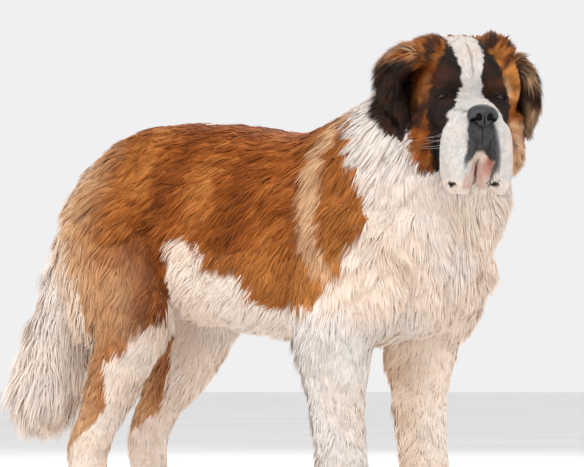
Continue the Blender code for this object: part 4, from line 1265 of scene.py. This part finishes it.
# A tuft's width to its guide's, the widths from one tuft to the next, thickness to width, how many tufts lean
# together, and the lightest colour.
NARROWED = 0.74
WIDTHS_APART = 1.10
FLATNESS = 0.28
TUFTS_TO_A_LOCK = 18
BRIGHTEST = 0.93
SHORT = ("face", "cheek", "crown", "ear", "foreleg", "hindleg", "back", "flank", "chest", "collar")
# Where a tuft's rings stand along it and their half widths, by how many rings it has.
RING_PLACES = {1: (0.42,), 2: (0.30, 0.66)}
RING_WIDTHS = {1: (0.58,), 2: (0.52, 0.46)}


def sown(points, triangles, spacing, chance):
    """Roots over the triangles, one to a square of the local spacing: the triangle and shares of each."""
    corners = points[triangles]
    first, second = corners[:, 1] - corners[:, 0], corners[:, 2] - corners[:, 0]
    area = 0.5 * np.linalg.norm(np.cross(first, second), axis=1)
    expected = area / spacing[triangles].mean(1) ** 2
    total = expected.cumsum()
    count = int(total[-1])
    picks = (np.arange(count) + chance.uniform(0, 1, count)) * (total[-1] / count)
    index = np.minimum(np.searchsorted(total, picks), len(triangles) - 1)
    a, b = chance.uniform(size=(2, len(index)))
    root = np.sqrt(a)
    return index, np.stack([1 - root, root * (1 - b), root * b], 1)


def bent(roots, normals, lie, length, lift, curl, tree, chance):
    """The middle line of each tuft, as four points that stay above the skin."""
    count = len(roots)
    level = lie - normals * dot(lie, normals)
    level = unit(level)
    side = np.cross(level, normals)
    swing = 0.30 * ripple(roots, 16, 51) + 0.16 * ripple(roots, 42, 52) + chance.normal(0, 0.09, count)
    level = unit(level * np.cos(swing)[:, None] + side * np.sin(swing)[:, None])
    side = np.cross(level, normals)
    lift = 0.72 * np.radians(lift) * chance.uniform(0.6, 1.3, count) * (1 + 0.30 * ripple(roots, 24, 53))
    line = [roots - normals * SINK]
    wave = 2.2 * ripple(roots, 7, 54)
    for k, share in enumerate((1.7, 0.9, 0.25)):
        tilt = (lift * share)[:, None]
        step = level * np.cos(tilt) + normals * np.sin(tilt)
        step = unit(step + np.array((0, 0, -0.10 * k)))
        sway = side * (curl * np.cos(wave + 2.4 * k))[:, None] * (0.5 + 0.5 * k)
        line.append(line[-1] + step * (length / 3)[:, None] + sway)
    line = np.stack(line, 1)
    floor = length * np.clip(lift, 0.08, 0.6)
    for k, share in ((1, 0.25), (2, 0.40), (3, 0.45)):
        least = 0.0006 + floor * share
        for i in range(count):
            near, out, _, _ = tree.find_nearest(Vector(line[i, k]))
            if out is None:
                continue
            out, near = np.array(out), np.array(near)
            height = (line[i, k] - near) @ out
            if height < least[i]:
                line[i, k] = near + out * least[i]
    return line


def clumped(line, roots, length, chance):
    """Draws the tufts' tips together, so that they part into locks."""
    count = len(roots)
    leaders = chance.choice(count, max(count // TUFTS_TO_A_LOCK, 1), replace=False)
    finder = KDTree(len(leaders))
    for i, leader in enumerate(leaders):
        finder.insert(Vector(roots[leader]), i)
    finder.balance()
    found = np.array([leaders[finder.find(Vector(root))[1]] for root in roots])
    apart = roots - roots[found]
    near = np.linalg.norm(apart, axis=1) < length * 0.45
    pull = np.where(near, np.clip(length / 0.05, 0.15, 1.0) * 0.55, 0)
    for k, share in ((1, 0.18), (2, 0.60), (3, 1.0)):
        to = line[found, k]
        line[:, k] += (to - line[:, k]) * (pull * share)[:, None] * 0.92
    return line, found


def tuft_mesh(name, line, rings, normals, width, colour, tone, places, chance):
    """Closed three-sided tufts, pointed at both ends, that are shaded softly like the skin under them."""
    count = len(line)
    share = np.array(RING_PLACES[rings])
    whole = np.minimum(share * 3, 2.999).astype(int)
    part = (share * 3 - whole)[None, :, None]
    at = line[:, whole] * (1 - part) + line[:, whole + 1] * part
    spine = np.concatenate([line[:, :1], at, line[:, 3:]], 1)
    tangent = unit(spine[:, 2:] - spine[:, :-2])
    side = unit(np.cross(tangent, normals[:, None, :]))
    twist = chance.uniform(-0.25, 0.25, count)[:, None, None]
    up = np.cross(side, tangent)
    side, up = side * np.cos(twist) + up * np.sin(twist), up * np.cos(twist) - side * np.sin(twist)
    half = width[:, None, None] * np.array(RING_WIDTHS[rings])[None, :, None]
    deep = half * FLATNESS
    sag = up * deep * 0.4
    corners = np.stack([at + side * half - sag, at + up * deep, at - side * half - sag], 2)
    vertices = np.concatenate([line[:, :1], corners.reshape(count, 3 * rings, 3), line[:, 3:]], 1)
    each, last = 3 * rings + 2, 3 * rings - 2
    faces, low = [], []
    for k in range(3):
        n = (k + 1) % 3
        faces += [(0, 1 + k, 1 + n), (last + k, each - 1, last + n)]
        faces += [(i + k, i + 3 + k, i + 3 + n, i + n) for i in range(1, last, 3)]
        low += [k == 2] * (rings + 1)
    pattern = np.array([v for face in faces for v in face])
    under = np.array([is_low for face, is_low in zip(faces, low) for _ in face])
    loops = (pattern[None] + (np.arange(count) * each)[:, None]).ravel()
    totals = np.tile([len(face) for face in faces], count)
    starts = np.concatenate([[0], totals.cumsum()[:-1]])
    mesh = bpy.data.meshes.new(name)
    mesh.vertices.add(count * each)
    mesh.vertices.foreach_set("co", vertices.astype(np.float32).ravel())
    mesh.loops.add(len(loops))
    mesh.loops.foreach_set("vertex_index", loops.astype(np.int32))
    mesh.polygons.add(len(totals))
    mesh.polygons.foreach_set("loop_start", starts.astype(np.int32))
    mesh.polygons.foreach_set("use_smooth", [True] * len(totals))
    mesh.update(calc_edges=True)
    along = np.concatenate([[0], np.repeat(share, 3), [1]])[None]
    light = np.sqrt(colour.mean(1))
    tone = 1 + (tone - 1) * (1 - 0.6 * light)
    # Painted shade: each tuft darkens towards its root and lightens a little at its tip, for the shade deep
    # in the coat, and takes a warmer tint where darker, for light scattered in the coat.
    root = 0.70 + 0.29 * light[:, None]
    shade = (root + (1.06 - root) * along**0.6)[:, :, None]
    shade_warmth = 1 - (1 - np.minimum(shade, 1)) * np.array((0.0, 0.22, 0.38))
    tint = colour[:, None, :] * tone[:, None, None] * shade * shade_warmth
    tint *= np.minimum(1, BRIGHTEST / np.maximum(tint.max(-1, keepdims=True), 0.001))
    tint = np.concatenate([tint, np.ones((count, each, 1))], 2)
    give(mesh, "coat_colour", "FLOAT_COLOR", tint, "color")
    across = np.tile([0, *[1, 0, -1] * rings, 0], (count, 1))
    along = np.tile(along, (count, 1))
    strand = np.stack([across, along, np.repeat(chance.uniform(size=(count, 1)), each, 1)], 2)
    give(mesh, "strand", "FLOAT_VECTOR", strand, "vector")
    patch = places[:, None, :] + np.stack([across * 0.5, along - 0.5], 2) * PATCH_SIZE
    layer = mesh.uv_layers.new(name="OFBake")
    layer.data.foreach_set("uv", patch.reshape(-1, 2)[loops].astype(np.float32).ravel())
    ends = normals[:, None, :]
    above = np.stack([side, up, -side], 2).reshape(count, 3 * rings, 3) * 0.25 + ends
    above = unit(np.concatenate([ends, above, ends], 1))[:, pattern]
    below = np.concatenate([-up[:, :1], np.repeat(-up, 3, 1), -up[:, -1:]], 1)[:, pattern]
    facing = np.where(under[None, :, None], below, above)
    mesh.normals_split_custom_set(facing.reshape(-1, 3))
    return linked(name, mesh)


def bare(points):
    """True where no hair grows: the nose, the eyes and the inner lips."""
    ahead, left, up = place = to_head(points).T
    nose = balls_away(place, (96, 0, -28), (22, 26, 18)) < 1.0
    eyes = np.hypot(np.hypot(ahead - EYE[0] - 3, abs(left) - EYE[1] - 1), (up + 1) * 1.15) < 13.0
    aside = abs(left - MOUTH)
    lips = (aside < 24) & (up < -92 - 0.8 * aside) & (ahead > 45) & (up > -160)
    groove = (abs(left) < 12) & (up < -36) & (ahead > 84) & (up > -92)
    return nose | eyes | lips | groove


def blended(field, corners, share):
    """A field of the skin's points at each root, by the root's shares of its triangle's corners."""
    return (field[corners] * share.reshape(share.shape + (1,) * (field.ndim - 1))).sum(1)


def grow_coat(skin, density, material):
    """Sows the tufts on the skin, region by region, and makes the pieces of the coat."""
    mesh = skin.data
    points, normals, triangles = points_of(mesh) - np.array(SHIFT), normals_of(mesh), triangles_of(mesh)
    ears = ear_test(points)
    lie, sizes, region, regions = coat_fields(points, ears)
    tree = BVHTree.FromPolygons([Vector(p) for p in points], [tuple(map(int, t)) for t in triangles])
    moved = skin.copy()
    moved.data = mesh.copy()
    bpy.context.scene.collection.objects.link(moved)
    moved.data.transform(Matrix.Translation(-SHIFT))
    unwrap = unwrapped(moved)
    bpy.data.objects.remove(moved)
    low, high = (np.array(corner) - np.array(SHIFT) for corner in CAD_BOX)
    sizes[:, 2] *= NARROWED
    spacing = sizes[:, 2] * WIDTHS_APART / math.sqrt(density)
    hidden = (points[:, 2] < 0.008) | bare(points)
    spacing = np.where(hidden, BARE_SPACING, spacing)
    of_triangle = region[triangles[:, 0]]
    for number, name in enumerate(regions):
        chance = np.random.default_rng(SEED + number)
        some = triangles[of_triangle == number]
        index, share = sown(points, some, spacing, chance)
        fields = (points, normals, lie, sizes)
        roots, out, way, size = (blended(field, some[index], share) for field in fields)
        out = unit(out)
        length = size[:, 0] * chance.uniform(0.72, 1.18, len(roots))
        line = bent(roots, out, way, length, size[:, 1], size[:, 3], tree, chance)
        line, lock = clumped(line, roots, length, chance)
        line = np.clip(line, low - BOX_MARGIN, high + BOX_MARGIN)
        line[:, :, 2] = np.maximum(line[:, :, 2], LOWEST_TIP)
        colour = markings(line[:, 2], part_of(roots))
        places = places_on(unwrap, roots)
        width = size[:, 2] * chance.uniform(0.75, 1.25, len(roots))
        tone = chance.normal(1, 0.11, len(roots))[lock] * chance.normal(1, 0.04, len(roots))
        rings = 1 if name in SHORT else 2
        order = np.argsort(roots[:, 0], kind="stable")
        pieces = max(1, math.ceil(len(roots) * 6 * rings / MOST_TRIANGLES))
        for k, chosen in enumerate(np.array_split(order, pieces)):
            title = f"coat_{name}" + (f"_{k + 1}" if pieces > 1 else "")
            rest = (field[chosen] for field in (out, width, colour, tone, places))
            obj = tuft_mesh(title, line[chosen], rings, *rest, chance)
            finished(obj, material)


# Add-on


class DogSettings(bpy.types.PropertyGroup):
    """What a user would change."""

    skin_voxel: bpy.props.FloatProperty(
        name="Trunk voxel", description="Grain at which the trunk and legs are fused", default=0.006,
        min=0.003, max=0.02, unit="LENGTH")
    fine_voxel: bpy.props.FloatProperty(
        name="Face voxel", description="Grain at which the head, ears and paws are fused", default=0.0032,
        min=0.002, max=0.01, unit="LENGTH")
    density: bpy.props.FloatProperty(
        name="Coat density", description="Tufts to each square of their own width", default=1.0,
        min=0.1, max=2.0)
    lens: bpy.props.FloatProperty(
        name="Lens", description="Focal length of the camera on a 36 mm sensor, in millimetres",
        default=155.34)
    distance: bpy.props.FloatProperty(
        name="Camera distance", description="From the dog to the camera", default=4.9, unit="LENGTH")
    camera_height: bpy.props.FloatProperty(
        name="Camera height", description="Height of the camera over the floor", default=0.31, unit="LENGTH")
    azimuth: bpy.props.FloatProperty(
        name="Camera azimuth", description="Turn of the camera round the dog, 0 in front",
        default=math.radians(-52), subtype="ANGLE")


class DOG_OT_skin(bpy.types.Operator):
    """Build the one skin under the coat"""

    bl_idname = "dog.skin"
    bl_label = "Skin"

    def execute(self, context):
        settings = context.scene.dog
        obj = build_skin(settings.skin_voxel, settings.fine_voxel)
        points = points_of(obj.data)
        # Painted shade: the skin's markings are darkened by 0.92, for the shade under the coat.
        colour = markings(points, part_of(points)) * 0.92
        colour = np.concatenate([colour, np.ones((len(points), 1))], 1)
        give(obj.data, "coat_colour", "FLOAT_COLOR", colour, "color")
        flesh = [name for name in frame["nodes"] if not name.startswith("eye")]
        finished(obj, skin_finish(), flesh)
        return {"FINISHED"}


class DOG_OT_coat(bpy.types.Operator):
    """Grow the coat on the skin"""

    bl_idname = "dog.coat"
    bl_label = "Coat"

    def execute(self, context):
        grow_coat(bpy.data.objects["skin"], context.scene.dog.density, coat_finish())
        return {"FINISHED"}


class DOG_OT_eyes(bpy.types.Operator):
    """Set the eyes and the rims of their lids"""

    bl_idname = "dog.eyes"
    bl_label = "Eyes"

    def execute(self, context):
        glass, rim = eye_finish(), lid_finish()
        for word, side in SIDES.items():
            ball = ellipsoid((0, 0, 0), [EYE_RADIUS - 0.1] * 3, detail=6)
            gaze = np.array(spot(1, side * 0.10, 0.02).normalized())
            points = points_of(ball.data)
            angle = np.arccos(np.clip(unit(points) @ gaze, -1, 1))
            points *= (1 + 0.07 * np.clip(1 - (angle / 0.60) ** 2, 0, 1))[:, None]
            move_points(ball.data, points)
            give(ball.data, "from_gaze", "FLOAT", angle / GAZE_SPAN, "value")
            ball.data.transform(MILLIMETRES @ Matrix.Translation(spot(EYE[0], side * EYE[1], EYE[2])))
            ball.name = f"eyeball_{word}"
            finished(ball, glass, [f"eye_{word}"])
            finished(ring_tube(f"lid_rim_{word}", lid_places(side), 1.3, 8), rim)
        return {"FINISHED"}


def lid_places(side):
    """The almond of the lids' opening, laid on a ball round the eye."""
    places = []
    for k in range(LID_PLACES):
        turn = math.tau * k / LID_PLACES
        x = math.cos(turn) * LID_HALF_WIDTH
        z = math.sin(turn) * (LID_RISE if math.sin(turn) > 0 else LID_FALL) - 1.2 - 0.12 * x
        across = x * side + 1.0 * side
        ahead = math.sqrt(max(LID_REACH**2 - across**2 - z**2, 0))
        places.append((EYE[0] + ahead - 0.6, side * EYE[1] + across, EYE[2] + z))
    return places


def ring_tube(name, places, radius, sides):
    """A closed ring of round section through places of the head's frame."""
    points = np.array([spot(*place) for place in places])
    count = len(points)
    tangent = unit(np.roll(points, -1, 0) - np.roll(points, 1, 0))
    centre = points.mean(0)
    out = points - centre
    out = unit(out - tangent * dot(out, tangent))
    up = np.cross(tangent, out)
    vertices = []
    for i in range(count):
        for k in range(sides):
            turn = math.tau * k / sides
            vertices.append(points[i] + (out[i] * math.cos(turn) + up[i] * math.sin(turn)) * radius)
    faces = [
        (i * sides + k, i * sides + (k + 1) % sides, (i + 1) % count * sides + (k + 1) % sides,
         (i + 1) % count * sides + k)
        for i in range(count)
        for k in range(sides)
    ]
    obj = mesh_object(name, vertices, faces)
    obj.data.transform(MILLIMETRES)
    return obj


class DOG_OT_nose(bpy.types.Operator):
    """Model the nose leather with its nostrils"""

    bl_idname = "dog.nose"
    bl_label = "Nose"

    def execute(self, context):
        shapes = [
            head_ball(93, 0, -26, 19, 27, 17),
            *head_balls(97, 15, -30, 15, 13.5, 11.5),
            head_ball(103, 0, -38, 9, 12, 13),
        ]
        nose = fuse(shapes, "nose", 0.0012, 8)
        carve(nose, [
            *head_balls(112, 10.5, -31, 14, 5.4, 7.2, (0, 12, 22)),
            *head_balls(107, 18.5, -36, 15, 9.5, 3.0, (0, 20, 34)),
            head_ball(115, 0, -40, 8, 1.1, 16),
        ])
        soften = nose.modifiers.new("Soften", "SMOOTH")
        soften.iterations = 2
        applied(nose)
        finished(nose, nose_finish())
        return {"FINISHED"}


def tree_with(name, inputs):
    """A new Geometry Nodes tree with named inputs, and its input and output nodes."""
    tree = bpy.data.node_groups.new(name, "GeometryNodeTree")
    tree.interface.new_socket("Geometry", in_out="INPUT", socket_type="NodeSocketGeometry")
    tree.interface.new_socket("Geometry", in_out="OUTPUT", socket_type="NodeSocketGeometry")
    for title, (kind, value) in inputs.items():
        socket = tree.interface.new_socket(title, in_out="INPUT", socket_type=kind)
        if value is not None:
            socket.default_value = value
    return tree, tree.nodes.new("NodeGroupInput"), tree.nodes.new("NodeGroupOutput")


def tapered_strands(name, places, aims, length, radius, sag, material):
    """A tapered strand at each place, turned to its aim: claws and whiskers are made alike."""
    tree, given, result = tree_with(name, {
        "Length": ("NodeSocketFloat", length), "Radius": ("NodeSocketFloat", radius),
        "Sag": ("NodeSocketFloat", sag), "Material": ("NodeSocketMaterial", None)})
    new, link = tree.nodes.new, tree.links.new
    curve = new("GeometryNodeCurveQuadraticBezier")
    circle = new("GeometryNodeCurvePrimitiveCircle")
    sweep = new("GeometryNodeCurveToMesh")
    curve.inputs["Resolution"].default_value = 8
    circle.inputs["Resolution"].default_value = 8
    curve.inputs["Start"].default_value = (0, 0, 0)
    for target, up, along in (("Middle", 0.0, 0.5), ("End", -1.0, 1.0)):
        place, high, far = new("ShaderNodeCombineXYZ"), new("ShaderNodeMath"), new("ShaderNodeMath")
        for node, value, source in ((high, up, "Sag"), (far, along, "Length")):
            node.operation = "MULTIPLY"
            node.inputs[0].default_value = value
            link(given.outputs[source], node.inputs[1])
        link(far.outputs[0], place.inputs["Z"])
        link(high.outputs[0], place.inputs["Y"])
        link(place.outputs[0], curve.inputs[target])
    spline = new("GeometryNodeSplineParameter")
    taper, power, size = (new("ShaderNodeMath") for _ in range(3))
    for node, operation in ((taper, "SUBTRACT"), (power, "POWER"), (size, "MULTIPLY")):
        node.operation = operation
    taper.inputs[0].default_value = 1.03
    power.inputs[1].default_value = 0.6
    link(spline.outputs["Factor"], taper.inputs[1])
    link(taper.outputs[0], power.inputs[0])
    link(power.outputs[0], size.inputs[0])
    link(given.outputs["Radius"], size.inputs[1])
    link(size.outputs[0], sweep.inputs["Scale"])
    link(curve.outputs[0], sweep.inputs["Curve"])
    circle.inputs["Radius"].default_value = 1.0
    link(circle.outputs["Curve"], sweep.inputs["Profile Curve"])
    sweep.inputs["Fill Caps"].default_value = True
    named = new("GeometryNodeInputNamedAttribute")
    turn = new("FunctionNodeAlignRotationToVector")
    spread = new("GeometryNodeInstanceOnPoints")
    named.data_type = "FLOAT_VECTOR"
    named.inputs["Name"].default_value = "aim"
    turn.axis = "Z"
    link(named.outputs["Attribute"], turn.inputs["Vector"])
    link(given.outputs["Geometry"], spread.inputs["Points"])
    link(sweep.outputs["Mesh"], spread.inputs["Instance"])
    link(turn.outputs["Rotation"], spread.inputs["Rotation"])
    real, paint = new("GeometryNodeRealizeInstances"), new("GeometryNodeSetMaterial")
    link(spread.outputs[0], real.inputs[0])
    link(real.outputs[0], paint.inputs["Geometry"])
    link(given.outputs["Material"], paint.inputs["Material"])
    link(paint.outputs[0], result.inputs[0])
    mesh = bpy.data.meshes.new(name)
    mesh.from_pydata([tuple(p) for p in places], [], [])
    give(mesh, "aim", "FLOAT_VECTOR", np.array([tuple(a) for a in aims]), "vector")
    obj = linked(name, mesh)
    modifier = obj.modifiers.new("Strands", "NODES")
    modifier.node_group = tree
    for item in tree.interface.items_tree:
        if item.in_out == "INPUT" and item.name == "Material":
            modifier[item.identifier] = material
    return applied(obj)


class DOG_OT_claws(bpy.types.Operator):
    """Set four claws on each foot"""

    bl_idname = "dog.claws"
    bl_label = "Claws"

    def execute(self, context):
        places, aims = [], []
        for forward, track in FEET:
            for across, ahead, _ in TOES:
                places.append(spot(forward + ahead + 0.026, track + across * 1.08, 0.024))
                aims.append(spot(0.84, across * 1.2, -0.54))
        obj = tapered_strands("claws", places, aims, 0.028, 0.0048, 0.001, claw_finish())
        finished(obj, obj.data.materials[0])
        return {"FINISHED"}


class DOG_OT_whiskers(bpy.types.Operator):
    """Set the whiskers on the lips"""

    bl_idname = "dog.whiskers"
    bl_label = "Whiskers"

    def execute(self, context):
        chance = np.random.default_rng(SEED)
        skin = bpy.data.objects["skin"]
        tree = BVHTree.FromObject(skin, bpy.context.evaluated_depsgraph_get())
        places, aims = [], []
        for side in SIDES.values():
            for row in range(3):
                for k in range(2):
                    at = MILLIMETRES @ spot(66 - 13 * k, side * 80, -62 - 13 * row + 4 * k)
                    near, out, _, _ = tree.find_nearest(at + SHIFT)
                    aim = HEAD.to_3x3() @ spot(-0.15 - 0.1 * k, side * chance.uniform(0.8, 1.1),
                                               chance.uniform(-0.45, -0.05))
                    places.append(near - out * 0.002 - SHIFT)
                    aims.append(aim.normalized())
        obj = tapered_strands("whiskers", places, aims, 0.042, 0.00016, 0.006, whisker_finish())
        finished(obj, obj.data.materials[0])
        return {"FINISHED"}


class DOG_OT_stage(bpy.types.Operator):
    """Set the floor, the lights and the camera"""

    bl_idname = "dog.stage"
    bl_label = "Stage"

    def execute(self, context):
        settings = context.scene.dog
        turns = [math.tau * k / FLOOR_SIDES for k in range(FLOOR_SIDES)]
        edge = [(math.cos(turn) * FLOOR_RADIUS, math.sin(turn) * FLOOR_RADIUS, 0) for turn in turns]
        floor = mesh_object("floor", edge, [tuple(range(FLOOR_SIDES))])
        floor.data.materials.append(floor_finish())
        world = bpy.data.worlds.new("Studio")
        context.scene.world = world
        context.scene.view_settings.view_transform = "Standard"
        world.use_nodes = True
        background = world.node_tree.nodes["Background"]
        background.inputs["Color"].default_value = (0.99, 0.99, 1.0, 1)
        background.inputs["Strength"].default_value = 0.88
        for name, place, size, power in (
            ("Key", (-4.2, -3.4, 4.2), 5.0, 130),
            ("Fill", (-5.0, 2.6, 2.4), 5.0, 95),
            ("Rim", (3.4, 1.6, 3.6), 4.0, 130),
            ("Front", (1.5, -5.0, 1.6), 4.0, 35),
        ):
            light = bpy.data.lights.new(name, "AREA")
            light.size, light.energy = size, power
            lamp = bpy.data.objects.new(name, light)
            context.scene.collection.objects.link(lamp)
            lamp.location = place
            lamp.rotation_euler = (Vector((0, 0, 0.5)) - Vector(place)).to_track_quat("-Z", "Y").to_euler()
        back = Vector((math.sin(settings.azimuth), -math.cos(settings.azimuth), 0))
        right = (-back).cross(Vector((0, 0, 1)))
        pitch = math.atan2(HORIZON - PICTURE[1] / 2, FOCAL_LENGTH)
        ahead = -back * math.cos(pitch) + Vector((0, 0, math.sin(pitch)))
        data = bpy.data.cameras.new("Camera")
        data.sensor_width, data.lens = 36, settings.lens
        camera = bpy.data.objects.new("Camera", data)
        context.scene.collection.objects.link(camera)
        aside = (PICTURE[0] / 2 - MIDDLE) / FOCAL_LENGTH * settings.distance
        height = Vector((0, 0, settings.camera_height))
        camera.location = back * settings.distance + right * aside + height + SHIFT
        camera.rotation_mode = "QUATERNION"
        camera.rotation_quaternion = ahead.to_track_quat("-Z", "Y")
        context.scene.camera = camera
        return {"FINISHED"}


class DOG_PT_panel(bpy.types.Panel):
    """Lists the dog's pieces"""

    bl_label = "Dog"
    bl_idname = "DOG_PT_panel"
    bl_space_type = "VIEW_3D"
    bl_region_type = "UI"
    bl_category = "Dog"

    def draw(self, context):
        for name in DogSettings.__annotations__:
            self.layout.prop(context.scene.dog, name)
        for operator in OPERATORS:
            self.layout.operator(operator.bl_idname)


OPERATORS = (DOG_OT_stage, DOG_OT_skin, DOG_OT_coat, DOG_OT_eyes, DOG_OT_nose, DOG_OT_claws, DOG_OT_whiskers)
CLASSES = (DogSettings, *OPERATORS, DOG_PT_panel)


def register():
    for cls in CLASSES:
        bpy.utils.register_class(cls)
    bpy.types.Scene.dog = bpy.props.PointerProperty(type=DogSettings)


def unregister():
    del bpy.types.Scene.dog
    for cls in reversed(CLASSES):
        bpy.utils.unregister_class(cls)


def main():
    register()
    bpy.ops.dog.stage()
    bpy.ops.dog.skin()
    bpy.ops.dog.coat()
    bpy.ops.dog.eyes()
    bpy.ops.dog.nose()
    bpy.ops.dog.claws()
    bpy.ops.dog.whiskers()
    bpy.context.view_layer.update()


if __name__ == "__main__":
    main()
